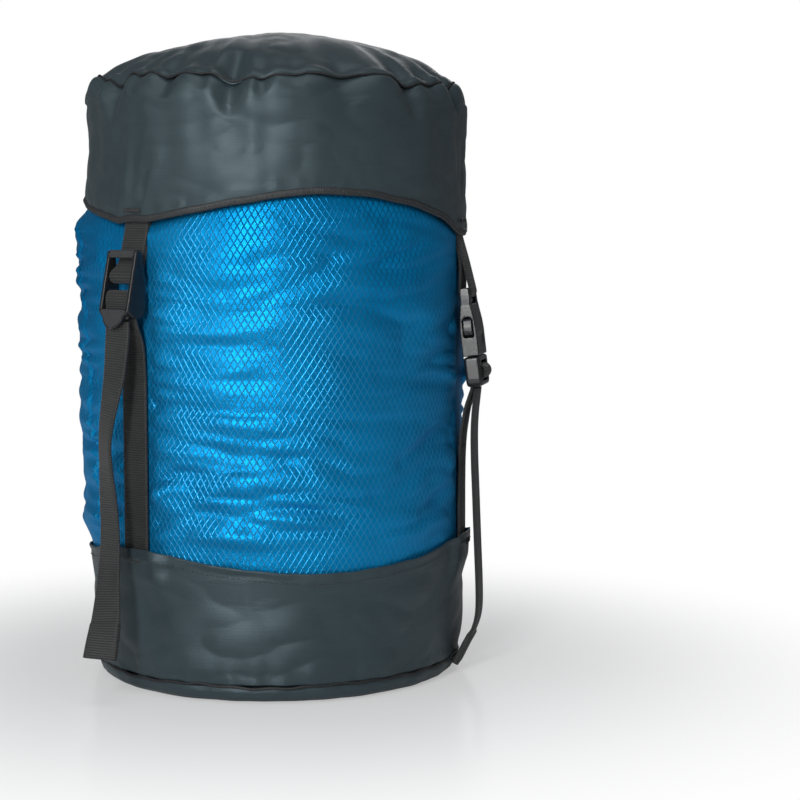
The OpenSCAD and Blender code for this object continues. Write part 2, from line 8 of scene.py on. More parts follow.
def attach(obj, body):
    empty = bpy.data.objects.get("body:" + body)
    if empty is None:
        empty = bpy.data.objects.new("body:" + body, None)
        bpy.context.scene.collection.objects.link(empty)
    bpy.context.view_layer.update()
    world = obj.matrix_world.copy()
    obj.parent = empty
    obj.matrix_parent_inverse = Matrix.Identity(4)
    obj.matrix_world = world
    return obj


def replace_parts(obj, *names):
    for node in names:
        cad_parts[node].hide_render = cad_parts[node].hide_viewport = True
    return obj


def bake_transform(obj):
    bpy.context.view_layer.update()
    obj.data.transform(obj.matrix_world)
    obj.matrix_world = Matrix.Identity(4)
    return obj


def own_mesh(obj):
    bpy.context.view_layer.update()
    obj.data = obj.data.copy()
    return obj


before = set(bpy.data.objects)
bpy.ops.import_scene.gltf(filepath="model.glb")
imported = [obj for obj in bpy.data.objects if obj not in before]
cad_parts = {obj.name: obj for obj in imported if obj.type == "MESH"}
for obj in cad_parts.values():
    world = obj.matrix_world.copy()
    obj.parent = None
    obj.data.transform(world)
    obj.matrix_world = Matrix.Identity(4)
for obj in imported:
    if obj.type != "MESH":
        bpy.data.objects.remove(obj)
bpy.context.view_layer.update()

# Camera: at the height of the sack's upper half, a little under a metre in front,
# with a short telephoto lens, so that the upright edges stay nearly parallel.
camera_data = bpy.data.cameras.new("camera")
camera_data.lens = 85.4
camera_data.sensor_width = 36
camera = bpy.data.objects.new("camera", camera_data)
camera.location = (0, -0.95, 0.216)
camera.rotation_euler = (math.radians(85), 0, math.radians(-3.7))
bpy.context.collection.objects.link(camera)
bpy.context.scene.camera = camera
bpy.context.scene.view_settings.view_transform = "Standard"


# Floor, background and lights: a pale glossy sweep, an even white room, a large soft light
# in front of the sack on the left, and weaker ones beside and above it.
def new_material(name, **values):
    """A node material, its node tree and its Principled shader, with its even values set by name."""
    m = bpy.data.materials.new(name)
    m.use_nodes = True
    shader = m.node_tree.nodes["Principled BSDF"]
    for key, value in values.items():
        shader.inputs[key.replace("_", " ")].default_value = value
    return m, m.node_tree, shader


def link(tree, a, b):
    tree.links.new(a, b)


def add_node(tree, kind, **inputs):
    """A node of that kind, with its values set by input name or attribute."""
    n = tree.nodes.new(kind)
    for key, value in inputs.items():
        if key in n.inputs:
            n.inputs[key].default_value = value
        else:
            setattr(n, key, value)
    return n


def seen_as(tree, share, lit, white, output):
    """Shows white instead of the lit shader by that share."""
    mix = add_node(tree, "ShaderNodeMixShader")
    for socket, value in zip(mix.inputs, (share, lit, white)):
        link(tree, value, socket)
    link(tree, mix.outputs[0], tree.nodes[output].inputs[0])


def camera_ray(tree):
    return add_node(tree, "ShaderNodeLightPath").outputs["Is Camera Ray"]


bpy.ops.object.select_all(action="DESELECT")
bpy.ops.mesh.primitive_plane_add(size=8, location=(0, 0, 0))
floor = bpy.context.object
floor.name = "floor"
floor_material, tree, shader = new_material(
    "pale_floor", Base_Color=(0.86, 0.86, 0.87, 1), Roughness=0.22, Specular_IOR_Level=0.35
)
glow = add_node(tree, "ShaderNodeEmission", Color=(1, 1, 1, 1), Strength=1.0)
# The floor keeps the shadow and the reflection near the sack, and fades to white away from it.
distance = add_node(tree, "ShaderNodeVectorMath", operation="LENGTH")
link(tree, add_node(tree, "ShaderNodeTexCoord").outputs["Object"], distance.inputs[0])
fade = add_node(tree, "ShaderNodeMapRange", interpolation_type="SMOOTHSTEP")
for socket, value in (("From Min", 0.09), ("From Max", 0.33), ("To Min", 0.40), ("To Max", 1.0)):
    fade.inputs[socket].default_value = value
link(tree, distance.outputs["Value"], fade.inputs["Value"])
share = add_node(tree, "ShaderNodeMath", operation="MULTIPLY")
link(tree, camera_ray(tree), share.inputs[0])
link(tree, fade.outputs[0], share.inputs[1])
seen_as(tree, share.outputs[0], shader.outputs[0], glow.outputs[0], "Material Output")
floor.data.materials.append(floor_material)

world = bpy.data.worlds.new("white_room")
bpy.context.scene.world = world
world.use_nodes = True
tree = world.node_tree
dim = tree.nodes["Background"]
dim.inputs["Color"].default_value = (0.93, 0.96, 1, 1)
dim.inputs["Strength"].default_value = 0.12
white = add_node(tree, "ShaderNodeBackground", Color=(1, 1, 1, 1), Strength=1.0)
seen_as(tree, camera_ray(tree), dim.outputs[0], white.outputs[0], "World Output")

for name, place, aim_height, width, height, watts in (
    ("front_light", (-0.54, -1.5, 0.62), 0.17, 0.24, 1.1, 18),
    ("top_light", (0.1, -0.35, 1.5), 0.15, 1.0, 0.8, 4),
    ("right_light", (1.5, -0.7, 0.7), 0.15, 0.5, 1.0, 0.9),
    ("left_light", (-1.5, -0.5, 0.7), 0.15, 0.5, 1.0, 2.2),
    ("back_light", (0.2, 1.6, 0.9), 0.15, 1.0, 0.8, 4),
):
    data = bpy.data.lights.new(name, "AREA")
    data.shape = "RECTANGLE"
    data.size = width
    data.size_y = height
    data.energy = watts
    lamp = bpy.data.objects.new(name, data)
    lamp.location = place
    lamp.rotation_euler = (Vector((0, 0, aim_height)) - Vector(place)).to_track_quat("-Z", "Y").to_euler()
    bpy.context.collection.objects.link(lamp)


# Free webbing ends: 16 mm black nylon webbing, woven with cross ribs and a firm selvedge. Each end
# comes out of its buckle, hangs down the sack, and is folded back and stitched at its tip.
WEB_WIDTH = 0.016
WEB_THICK = 0.0015
RIB_PITCH = 0.00115
FRONT, RIGHT, REAR = -135, -15, 105


def smooth_line(points, step):
    """A smooth curve through the given points, as rows about a step apart."""
    p = np.array(points, float)
    ends = np.vstack([2 * p[0] - p[1], p, 2 * p[-1] - p[-2]])
    rows = []
    for i in range(1, len(ends) - 2):
        p0, p1, p2, p3 = ends[i - 1 : i + 3]
        n = max(1, round(np.linalg.norm((p2 - p1)[:3]) / step))
        for t in np.arange(n) / n:
            rows.append(
                0.5 * (2 * p1 + (p2 - p0) * t + (2 * p0 - 5 * p1 + 4 * p2 - p3) * t * t
                       + (3 * p1 - p0 - 3 * p2 + p3) * t ** 3)
            )
    rows.append(p[-1])
    return np.array(rows)


def turned(point, degrees):
    """The point turned about the sack's axis."""
    a = math.radians(degrees)
    x, y, z = point
    return np.array([x * math.cos(a) - y * math.sin(a), x * math.sin(a) + y * math.cos(a), z])


def mesh_object(name, vertices, faces, material, uv=None):
    """A new smooth object from its vertices and faces, with a (across, along) UV per corner."""
    me = bpy.data.meshes.new(name)
    me.from_pydata([tuple(v) for v in vertices], [], faces)
    if uv is not None:
        layer = me.uv_layers.new(name="cloth")
        layer.data.foreach_set("uv", np.array([c for f in uv for c in f], np.float32).ravel())
    me.polygons.foreach_set("use_smooth", [True] * len(me.polygons))
    me.materials.append(material)
    me.update()
    o = bpy.data.objects.new(name, me)
    bpy.context.collection.objects.link(o)
    return o


def weave_webbing(name, line, station, material, start=0.0, doubled=0.0):
    """Webbing along a line of [outwards, sideways, up, turn of face] in a strap's own frame."""
    half = WEB_WIDTH / 2
    section = [
        (-1, -0.35), (-0.97, -0.8), (-0.9, -1), (-0.8, -1.06), (-0.4, -1), (0, -1), (0.4, -1),
        (0.8, -1.06), (0.9, -1), (0.97, -0.8), (1, -0.35), (1, 0.35), (0.97, 0.8), (0.9, 1),
        (0.8, 1.06), (0.4, 1), (0, 1), (-0.4, 1), (-0.8, 1.06), (-0.9, 1), (-0.97, 0.8), (-1, 0.35),
    ]
    k = len(section)
    across = [s * half + (0.02 if o > 0 else 0) for s, o in section]
    steps = np.linalg.norm(np.diff(line[:, :3], axis=0), axis=1)
    along = np.concatenate([[0], np.cumsum(steps)]) + start
    total = along[-1]
    vertices, faces, uv = [], [], []
    for i, row in enumerate(line):
        ahead = line[min(i + 1, len(line) - 1)] - line[max(i - 1, 0)]
        t = ahead[:3] / np.linalg.norm(ahead[:3])
        turn = math.radians(row[3]) if len(row) > 3 else 0
        side = np.array([-math.sin(turn), math.cos(turn), 0])
        side = side - t * side.dot(t)
        side /= np.linalg.norm(side)
        out = np.cross(side, t)
        rib = 0.00009 * (1 if i % 2 else -1)
        extra = 1.0 if total - along[i] > doubled else 1.0 + min(1, (doubled - total + along[i]) / 0.001)
        for s, o in section:
            thick = WEB_THICK / 2 * extra * o
            bump = rib * o if abs(s) < 0.85 else -rib * 0.6 * o
            p = row[:3] + side * s * half + out * (thick + bump)
            vertices.append(turned(p, station))
    for i in range(len(line) - 1):
        for c in range(k):
            d = (c + 1) % k
            faces.append((i * k + c, (i + 1) * k + c, (i + 1) * k + d, i * k + d))
            ac = across[c]
            ad = across[d] if d else across[0]
            uv.append([(ac, along[i]), (ac, along[i + 1]), (ad, along[i + 1]), (ad, along[i])])
    n = len(line) - 1
    faces.append(tuple(range(k)))
    uv.append([(across[c], along[0]) for c in range(k)])
    faces.append(tuple(n * k + c for c in reversed(range(k))))
    uv.append([(across[c], along[-1]) for c in reversed(range(k))])
    return mesh_object(name, vertices, faces, material, uv)


# Webbing finish: ribs across, each split into short slanting yarns, with a braided selvedge; rib crests
# painted lighter as a highlight.
def object_place(tree):
    return add_node(tree, "ShaderNodeTexCoord").outputs["Object"]


def cloth_uv(tree):
    """The place on the cloth in metres: as a vector, and as its two parts, across and along."""
    uv = add_node(tree, "ShaderNodeUVMap", uv_map="cloth").outputs[0]
    parts = add_node(tree, "ShaderNodeSeparateXYZ")
    link(tree, uv, parts.inputs[0])
    return uv, parts.outputs[0], parts.outputs[1]


def math_node(tree, operation, a, b=None, c=None, clamp=False):
    n = add_node(tree, "ShaderNodeMath", operation=operation, use_clamp=clamp)
    for i, v in enumerate((a, b, c)):
        if isinstance(v, (int, float)):
            n.inputs[i].default_value = v
        elif v is not None:
            link(tree, v, n.inputs[i])
    return n.outputs[0]


def wave_node(tree, value, factor):
    """Humps from 0 to 1: the size of the sine of value times factor."""
    return math_node(tree, "ABSOLUTE", math_node(tree, "SINE", math_node(tree, "MULTIPLY", value, factor)))


def noise_node(tree, place, scale, detail, roughness=0.5):
    n = add_node(tree, "ShaderNodeTexNoise", Scale=scale, Detail=detail, Roughness=roughness)
    link(tree, place, n.inputs["Vector"])
    return n.outputs["Fac"]


def ramp_node(tree, value, stops):
    n = add_node(tree, "ShaderNodeValToRGB")
    n.color_ramp.interpolation = "EASE"
    while len(n.color_ramp.elements) < len(stops):
        n.color_ramp.elements.new(0.5)
    for e, (at, color) in zip(n.color_ramp.elements, stops):
        e.position = at
        e.color = (*color, 1)
    link(tree, value, n.inputs[0])
    return n.outputs[0]


def bump_node(tree, shader, height, strength, distance):
    n = add_node(tree, "ShaderNodeBump", Strength=strength, Distance=distance)
    link(tree, height, n.inputs["Height"])
    link(tree, n.outputs[0], shader.inputs["Normal"])


YARN_PITCH = 0.0009
webbing_material, tree, shader = new_material(
    "black_webbing", Specular_IOR_Level=0.45, Sheen_Weight=0.12, Sheen_Roughness=0.5
)
uv, u, v = cloth_uv(tree)
place = object_place(tree)
slant = math_node(tree, "MULTIPLY_ADD", u, 1 / YARN_PITCH, math_node(tree, "MULTIPLY", v, 0.5 / RIB_PITCH))
yarn = wave_node(tree, slant, math.pi)
rib = wave_node(tree, v, math.pi / RIB_PITCH)
relief = math_node(tree, "ADD", math_node(tree, "MULTIPLY", rib, 0.7), math_node(tree, "MULTIPLY", yarn, 0.3))
fluff = noise_node(tree, place, 2600.0, 2.0)
bump_node(tree, shader, math_node(tree, "ADD", relief, math_node(tree, "MULTIPLY", fluff, 0.5)), 0.9, 0.00022)
worn = noise_node(tree, place, 55.0, 3.0)
# The rib crests are painted lighter as a highlight, over a random tone that varies from place to place.
tone = math_node(tree, "MULTIPLY_ADD", relief, 0.75, math_node(tree, "MULTIPLY", worn, 0.3))
stops = [(0.15, (0.004, 0.004, 0.0045)), (0.6, (0.014, 0.0145, 0.0145)), (1.0, (0.05, 0.052, 0.05))]
link(tree, ramp_node(tree, tone, stops), shader.inputs["Base Color"])
link(tree, math_node(tree, "MULTIPLY_ADD", worn, 0.2, 0.5), shader.inputs["Roughness"])

# The ladder lock's loop bar and the mouth of each side-release buckle: distance from the axis and
# height, in millimetres. The tails' points are (outwards from there, sideways, percent of the tail's
# top height, turn of the face in degrees).
LOCK = (98.25, 196.5)
BUCKLE = (100.006, 157)
FRONT_TAIL_Z, SIDE_TAIL_Z = 0.176, 0.141
TAIL_HEM = 0.017
front_route = [
    (5.3, 0, 100, 0), (5.2, 0, 97, 0), (5.7, -0.5, 92, -2), (6.7, -1, 86, -6), (8.2, -2, 80, -12),
    (9.7, -3, 74, -18), (10.2, -4, 68, -22), (9.7, -4, 61, -20), (9.2, -3.5, 54, -14),
    (9.2, -2.5, 47, -11), (9.7, -2, 40, -8), (11.7, -1, 32.5, -3), (14.2, 0.5, 25.5, 6), (16.7, 2, 20.5, 16),
    (19.2, 3, 16.5, 25), (21.7, 4, 12.5, 32),
]
side_route = [
    (1.5, 0, 100, 0), (1, 0, 96.5, 0), (0.2, 0, 91, 0), (-0.2, 0, 84, 0), (0, 0, 74.5, 0),
    (0.6, 0, 64, 0), (1.2, 0, 53, 0), (1.8, 0, 42.5, 0), (2.4, 0, 32, 0), (2.5, 0, 23.5, 0),
    (1.6, 0, 18.5, 0), (-0.6, 0, 14, 0), (-3.6, 0, 10, 0), (-6.4, 0, 6, 0), (-8.4, 0, 3.2, 0),
]


def hang_tail(name, route, at, top_z, station, body):
    """A free end along its route."""
    points = [((at[0] + x) / 1000, y / 1000, top_z * h / 100, turn) for x, y, h, turn in route]
    line = smooth_line(points, RIB_PITCH / 2)
    tail = weave_webbing(name + "_webbing", line, station, webbing_material, doubled=TAIL_HEM)
    path = [turned(p, station) for p in line[::6, :3]]
    tip = turned(line[-1, :3], station)
    if np.linalg.norm(path[-1] - tip) > 1e-5:
        path.append(tip)
    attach(tail, body)
    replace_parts(tail, name)
    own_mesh(tail)


hang_tail("front_tail", front_route, LOCK, FRONT_TAIL_Z, FRONT, "ladder_lock")
hang_tail("right_tail", side_route, BUCKLE, SIDE_TAIL_Z, RIGHT, "right_plug")
hang_tail("rear_tail", side_route, BUCKLE, SIDE_TAIL_Z, REAR, "rear_plug")


# Packed load: the clothes or sleeping bag inside. It is never seen, but it is what keeps the sack
# round, so it is a real stuffed form, swollen by a short cloth simulation.
load_material, tree, shader = new_material("filling_cloth", Roughness=0.9)
speckle = noise_node(tree, object_place(tree), 900.0, 2.0)
stops = [(0.3, (0.04, 0.055, 0.07)), (0.7, (0.08, 0.1, 0.12))]
link(tree, ramp_node(tree, speckle, stops), shader.inputs["Base Color"])


def applied(o, kind, **settings):
    """Gives the active object a modifier and applies it."""
    m = o.modifiers.new(kind.lower(), kind)
    for key, value in settings.items():
        setattr(m, key, value)
    bpy.ops.object.modifier_apply(modifier=m.name)


def clothed(o, material):
    """Makes the object smooth, with that material alone."""
    o.data.polygons.foreach_set("use_smooth", [True] * len(o.data.polygons))
    o.data.materials.clear()
    o.data.materials.append(material)


SWELL_FRAMES, SWELL_CAP = 20, 0.006
bpy.ops.object.select_all(action="DESELECT")
bpy.ops.mesh.primitive_cylinder_add(vertices=64, radius=0.082, depth=0.278, location=(0, 0, 0.149))
packed = bpy.context.object
packed.name = "packed_filling"
bpy.ops.object.transform_apply(location=True)
bpy.ops.object.mode_set(mode="EDIT")
bpy.ops.mesh.select_all(action="SELECT")
bpy.ops.mesh.bevel(offset=0.012, segments=4)
bpy.ops.object.mode_set(mode="OBJECT")
applied(packed, "REMESH", mode="VOXEL", voxel_size=0.007)
before = np.array([v.co for v in packed.data.vertices])
cloth = packed.modifiers.new("swell", "CLOTH")
cloth.settings.use_pressure = True
cloth.settings.uniform_pressure_force = 4
cloth.settings.effector_weights.gravity = 0
cloth.point_cache.frame_end = SWELL_FRAMES
for f in range(1, SWELL_FRAMES + 1):
    bpy.context.scene.frame_set(f)
bpy.ops.object.modifier_apply(modifier="swell")
bpy.context.scene.frame_set(1)
move = np.array([v.co for v in packed.data.vertices]) - before
far = np.linalg.norm(move, axis=1, keepdims=True)
capped = before + move * np.minimum(1, SWELL_CAP / np.maximum(far, 1e-9))
packed.data.vertices.foreach_set("co", capped.ravel())
clothed(packed, load_material)
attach(packed, "sack")
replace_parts(packed, "packed_load")


# Body tube: blue ripstop nylon stuffed tight, sewn into a tube with one side seam. It swells between
# the straps, creases across where the sack is squeezed, and gathers to the mouth at the top.
TUBE_R, LID_R = 0.0925, 0.094
HEM_MID_Z, HEM_DROP = 0.234, 0.016
CUP_MID_Z, CUP_RISE = 0.061, 0.009


def strap_away(a):
    """Degrees from the nearest strap."""
    return np.min([np.abs((a - s + 180) % 360 - 180) for s in (FRONT, RIGHT, REAR)], axis=0)


def arch(a):
    """How far an edge is drawn towards a strap: 1 at a strap, 0 midway between two."""
    return (1 - np.maximum(0, strap_away(a) - 6) / 54) ** 1.7


def hem_z(a):
    return HEM_MID_Z - HEM_DROP * arch(a)


def cup_z(a):
    return CUP_MID_Z + CUP_RISE * arch(a)


def ease(x, low, high):
    """0 below low, 1 above high, and smooth between them."""
    t = np.clip((x - low) / (high - low), 0, 1)
    return t * t * (3 - 2 * t)


def near(a, b, width):
    """A smooth hump, 1 where the turn a is at b, and gone a little past width degrees from it."""
    return np.exp(-(((a - b + 180) % 360 - 180) / width) ** 2)


def rumple(a, z, around, up, seed):
    """Smooth noise on the sack's side, from -1 to 1, with its own size around and up, in metres."""
    x = TUBE_R * np.cos(np.radians(a)) / around + 7.3 * seed
    y = TUBE_R * np.sin(np.radians(a)) / around - 3.1 * seed
    h = z / up + 1.7 * seed
    return np.array([noise.noise((p, q, s)) for p, q, s in zip(x, y, h)]) * 1.6


def waver(a, around, seed):
    """The same noise along a line round the sack."""
    return rumple(a, np.zeros_like(a), around, 1, seed)


def crease(a, z, start, end, depth, width):
    """A pressed fold between two points of (turn in degrees, height in mm), as a negative depth."""
    x = (a - start[0] + 180) % 360 - 180
    ex = (end[0] - start[0] + 180) % 360 - 180
    px, py = np.radians(x) * TUBE_R, z - start[1] / 1000
    ex, ey = math.radians(ex) * TUBE_R, (end[1] - start[1]) / 1000
    t = np.clip((px * ex + py * ey) / (ex * ex + ey * ey), 0, 1)
    d2 = (px - t * ex) ** 2 + (py - t * ey) ** 2
    fade = 0.35 + 0.65 * np.sin(np.pi * np.clip(t, 0.08, 0.92))
    return -depth / 1000 * np.exp(-d2 / (width / 1000) ** 2) * fade


def wrap_cloth(name, columns, rows, surface, material, thickness=0.0):
    """Cloth wrapped round the sack: surface(turns in degrees, shares of the way up) gives the radius,
    the height and the length along the cloth, and the UV map holds metres of cloth."""
    bpy.ops.object.select_all(action="DESELECT")
    bpy.ops.mesh.primitive_grid_add(x_subdivisions=columns, y_subdivisions=rows, size=2, calc_uvs=True)
    o = bpy.context.object
    o.name = name
    me = o.data
    co = np.empty(len(me.vertices) * 3)
    me.vertices.foreach_get("co", co)
    co = co.reshape(-1, 3)
    a = (co[:, 0] + 1) * 180
    t = (co[:, 1] + 1) / 2
    r, z, along = surface(a, t)
    rad = np.radians(a)
    place = np.stack([r * np.cos(rad), r * np.sin(rad), z], axis=1)
    index = np.empty(len(me.loops), np.int32)
    me.loops.foreach_get("vertex_index", index)
    me.uv_layers[0].name = "cloth"
    uv = np.stack([rad[index] * TUBE_R, along[index]], axis=1)
    me.uv_layers[0].data.foreach_set("uv", uv.astype(np.float32).ravel())
    me.vertices.foreach_set("co", place.ravel())
    bpy.ops.object.mode_set(mode="EDIT")
    bpy.ops.mesh.select_all(action="SELECT")
    bpy.ops.mesh.remove_doubles(threshold=1e-6)
    bpy.ops.object.mode_set(mode="OBJECT")
    if thickness:
        applied(o, "SOLIDIFY", thickness=thickness, offset=-1)
    clothed(o, material)
    me.update()
    return o


def profile(t, points, shares):
    """Radius, height and length along an outline of [radius, height], where shares of t reach its points."""
    p = np.array(points, float)
    length = np.concatenate([[0], np.cumsum(np.linalg.norm(np.diff(p, axis=0), axis=1))])
    s = np.interp(t, shares, length)
    return np.interp(s, length, p[:, 0]), np.interp(s, length, p[:, 1]), s


tube_creases = [
    ((-129, 191.5), (-104, 190), 1.3, 2.6), ((-128, 137), (-88, 133), 1.5, 3.4),
    ((-86, 134), (-44, 127), 1.2, 3.2), ((-62, 226), (-31, 215), 2.2, 2.8),
    ((-52, 111), (-24, 125), 2.4, 4.0), ((-62, 97), (-27, 117), 1.8, 4.2),
    ((-126, 97), (-99, 83), 1.9, 4.0), ((-128, 111), (-106, 101), 1.4, 3.5),
    ((-122, 168), (-92, 164), 1.0, 3.0), ((-96, 206), (-60, 208), 0.9, 3.2),
    ((-70, 178), (-30, 172), 1.0, 3.4), ((-60, 150), (-26, 146), 1.3, 3.6),
    ((-118, 150), (-84, 148), 0.9, 3.0), ((-112, 116), (-78, 112), 1.1, 3.6),
    ((-96, 92), (-66, 90), 1.2, 3.6), ((-44, 86), (-24, 96), 1.5, 3.4),
    ((-150, 205), (-141, 197), 1.6, 2.8), ((-176, 222), (-146, 214), 1.8, 3.0),
    ((-174, 186), (-144, 180), 1.6, 3.0), ((-176, 150), (-143, 146), 1.5, 3.2),
    ((-172, 118), (-143, 112), 1.4, 3.2), ((-166, 92), (-142, 86), 1.3, 3.0),
    ((20, 190), (58, 184), 1.6, 3.2), ((8, 150), (44, 156), 1.5, 3.4), ((-8, 118), (30, 110), 1.7, 3.6),
    ((50, 130), (92, 124), 1.5, 3.4), ((60, 90), (94, 98), 1.4, 3.2), ((0, 208), (40, 214), 1.6, 3.0),
    ((118, 186), (160, 192), 1.6, 3.2), ((122, 146), (158, 140), 1.5, 3.4),
    ((150, 166), (186, 160), 1.3, 3.2), ((118, 106), (156, 112), 1.6, 3.4),
    ((140, 84), (182, 88), 1.3, 3.2), ((132, 214), (176, 218), 1.8, 3.0), ((70, 206), (94, 200), 1.4, 3.0),
    ((64, 164), (92, 160), 1.3, 3.0)
]


def seam_turn(z):
    """Where the tube's side seam runs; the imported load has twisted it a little."""
    return -169 + 110 * (0.21 - z)


def tube_surface(a, t):
    """The stuffed cloth: an even outline, then swell, wrinkles, folds and seam, kept off its neighbours."""
    top = LID_R - 0.00565
    snug = 0.0922
    points = [
        (0.0005, 0.0082), (0.080, 0.0082), (0.0889, 0.0092), (0.0905, 0.030), (0.0906, 0.046),
        (snug, 0.058), (snug, 0.234), (top, 0.250), (top, 0.2722), (0.0856, 0.2828), (0.0797, 0.2912),
        (0.070, 0.29935), (0.056, 0.3050), (0.040, 0.3090), (0.026, 0.31045), (0.0155, 0.3095),
        (0.0133, 0.3004)
    ]
    shares = [
        0, 0.01, 0.02, 0.04, 0.05, 0.07, 0.76, 0.80, 0.84, 0.86, 0.875, 0.895, 0.92, 0.95, 0.975, 0.99, 1
    ]
    r, z, along = profile(t, points, shares)
    hem, cup = hem_z(a), cup_z(a)
    side = (t > 0.03) & (t < 0.85)
    # The lid's edge grips the tube: it narrows just under the edge and stays narrow above it.
    grip = ease(z, hem - 0.0035, hem + 0.006)
    r = np.where(side, r - (r - top) * grip * ease(z, 0.1, 0.2), r)
    free = (1 - ease(z, hem - 0.013, hem - 0.001)) * ease(z, cup - 0.002, cup + 0.016)
    away = strap_away(a)
    groove = ease(away, 4.8, 19)
    panel = 0.0030 * near(a, -75, 45) + 0.0034 * near(a, 45, 45) + 0.0056 * near(a, 165, 50)
    swell = panel * groove * free * (0.75 + 0.55 * ease(z, 0.165, 0.225) * near(a, 172, 50))
    drift = 0.006 * rumple(a, z, 0.07, 0.05, 1)
    fold = np.abs(rumple(a, z + drift, 0.040, 0.0105, 2))
    ripple = np.abs(rumple(a, z + drift * 1.4, 0.022, 0.0055, 3))
    soft = rumple(a, z, 0.055, 0.034, 4)
    patch = 0.45 + 0.75 * ease(rumple(a, z, 0.06, 0.05, 5), -0.5, 0.6)
    edge = 1 + 0.7 * np.exp(-((away - 9) / 7) ** 2)
    wrinkle = (0.0023 * (fold - 0.30) * patch * edge + 0.0007 * (ripple - 0.3) * patch * edge + 0.0009 * soft)
    pressed = np.zeros_like(a)
    for start, end, depth, width in tube_creases:
        pressed += crease(a, z + drift * 0.4, start, end, depth, width)
    off = (a - seam_turn(z) + 180) % 360 - 180
    wave = 0.9 * np.sin(z * 420) + 0.7 * np.sin(z * 187 + 1)
    seam = 0.0011 * np.exp(-((off - wave) / 0.75) ** 2) - 0.0009 * np.exp(-((off - wave - 1.6) / 0.8) ** 2)
    pucker = 0.0011 * np.sin(z * 700 + 2.0 * np.sin(z * 160)) * np.exp(-(off / 8) ** 2)
    quiet = ease(away, 4.6, 8.5)
    detail = (wrinkle + pressed + seam + pucker) * free * quiet
    r = np.where(side, r + swell + detail + 0.0004 * quiet * free, r)
    strap_limit = snug + 0.05 * ease(away, 5.0, 12)
    lid_limit = 0.0921 - 0.002 * ease(z, hem, hem + 0.004) + 0.05 * (1 - ease(z, hem - 0.006, hem - 0.0005))
    cup_limit = snug + 0.05 * ease(z, cup + 0.0004, cup + 0.006)
    r = np.where(side, np.minimum.reduce([r, strap_limit, lid_limit, np.where(z > 0.05, cup_limit, r)]), r)
    # Gathers: pleats run from the shoulder over the top and get deeper towards the mouth.
    gather = ease(z, 0.262, 0.284) * (t > 0.8)
    turn = a + 3 * np.sin(np.radians(a * 3)) + 2 * np.sin(np.radians(a * 7 + 40))
    pleat = np.abs(np.sin(np.radians(turn * 15))) ** 0.8 + 0.35 * np.abs(np.sin(np.radians(turn * 31 + 20)))
    z = z - 0.0045 * ease(z, 0.262, 0.290)
    z = z - gather * 0.0019 * (1.2 - pleat) * np.clip(r / 0.03, 0.3, 1)
    r = r - gather * 0.0016 * (1.2 - pleat) * ease(r, 0.07, 0.085)
    return r, z, along


# Plain weave: the thread relief that every cloth here shares, at its own thread spacing.
weave_group = bpy.data.node_groups.new("plain_weave", "ShaderNodeTree")
for name, way, kind in (
    ("UV", "INPUT", "Vector"), ("Threads per metre", "INPUT", "Float"), ("Relief", "OUTPUT", "Float")
):
    weave_group.interface.new_socket(name, in_out=way, socket_type="NodeSocket" + kind)
inside = add_node(weave_group, "NodeGroupInput")
axes = add_node(weave_group, "ShaderNodeSeparateXYZ")
link(weave_group, inside.outputs[0], axes.inputs[0])
sines = []
for axis in axes.outputs[:2]:
    count = math_node(weave_group, "MULTIPLY", axis, inside.outputs[1])
    sines.append(math_node(weave_group, "SINE", math_node(weave_group, "MULTIPLY", count, math.pi)))
crossing = math_node(weave_group, "MULTIPLY", *sines)
outside = add_node(weave_group, "NodeGroupOutput")
link(weave_group, math_node(weave_group, "MULTIPLY_ADD", crossing, 0.5, 0.5), outside.inputs[0])


def weave_relief(tree, uv, threads):
    """The relief of a plain weave with that many threads per metre."""
    n = add_node(tree, "ShaderNodeGroup", node_tree=weave_group)
    link(tree, uv, n.inputs[0])
    n.inputs[1].default_value = threads
    return n.outputs[0]


# Ripstop finish: a fine weave crossed by thicker threads that make upright diamonds. The threads' colour
# holds
# a painted sheen: pale cyan low on the tube, fading to dark blue towards its top and in noise patches.
ripstop_material, tree, shader = new_material(
    "blue_ripstop", Metallic=0.6, Specular_IOR_Level=0.4, Specular_Tint=(0.12, 0.62, 1, 1),
    Sheen_Weight=0.03, Sheen_Roughness=0.4, Sheen_Tint=(0.2, 0.6, 1, 1)
)
uv, u, v = cloth_uv(tree)
place = object_place(tree)
DIAMOND_W, DIAMOND_H = 2 * math.pi * TUBE_R / 184, 0.0052
LINE_WIDTH = 0.115
sway = math_node(tree, "MULTIPLY_ADD", noise_node(tree, place, 38.0, 1.0), 0.55, -0.27)
right_u = math_node(tree, "MULTIPLY_ADD", u, 1 / DIAMOND_W, sway)
up_v = math_node(tree, "MULTIPLY", v, 1 / DIAMOND_H)


def thread_line(tree, position):
    """1 on thin lines at each whole number of position, 0 between them."""
    away = math_node(tree, "DIVIDE", math_node(tree, "PINGPONG", position, 0.5), LINE_WIDTH)
    return math_node(tree, "SUBTRACT", 1, math_node(tree, "SMOOTH_MIN", away, 1, 0.5), clamp=True)


rising = thread_line(tree, math_node(tree, "ADD", right_u, up_v))
falling = thread_line(tree, math_node(tree, "SUBTRACT", right_u, up_v))
grid = math_node(tree, "MAXIMUM", rising, falling)
weave = weave_relief(tree, uv, 2600)
shade = noise_node(tree, place, 11.0, 3.0, 0.55)
tone = math_node(tree, "MULTIPLY_ADD", shade, 0.7, math_node(tree, "MULTIPLY", weave, 0.22))
stops = [(0.25, (0.001, 0.1706, 0.4024)), (0.5, (0.0014, 0.2437, 0.5507)), (0.8, (0.0037, 0.3331, 0.6919))]
cloth = ramp_node(tree, tone, stops)
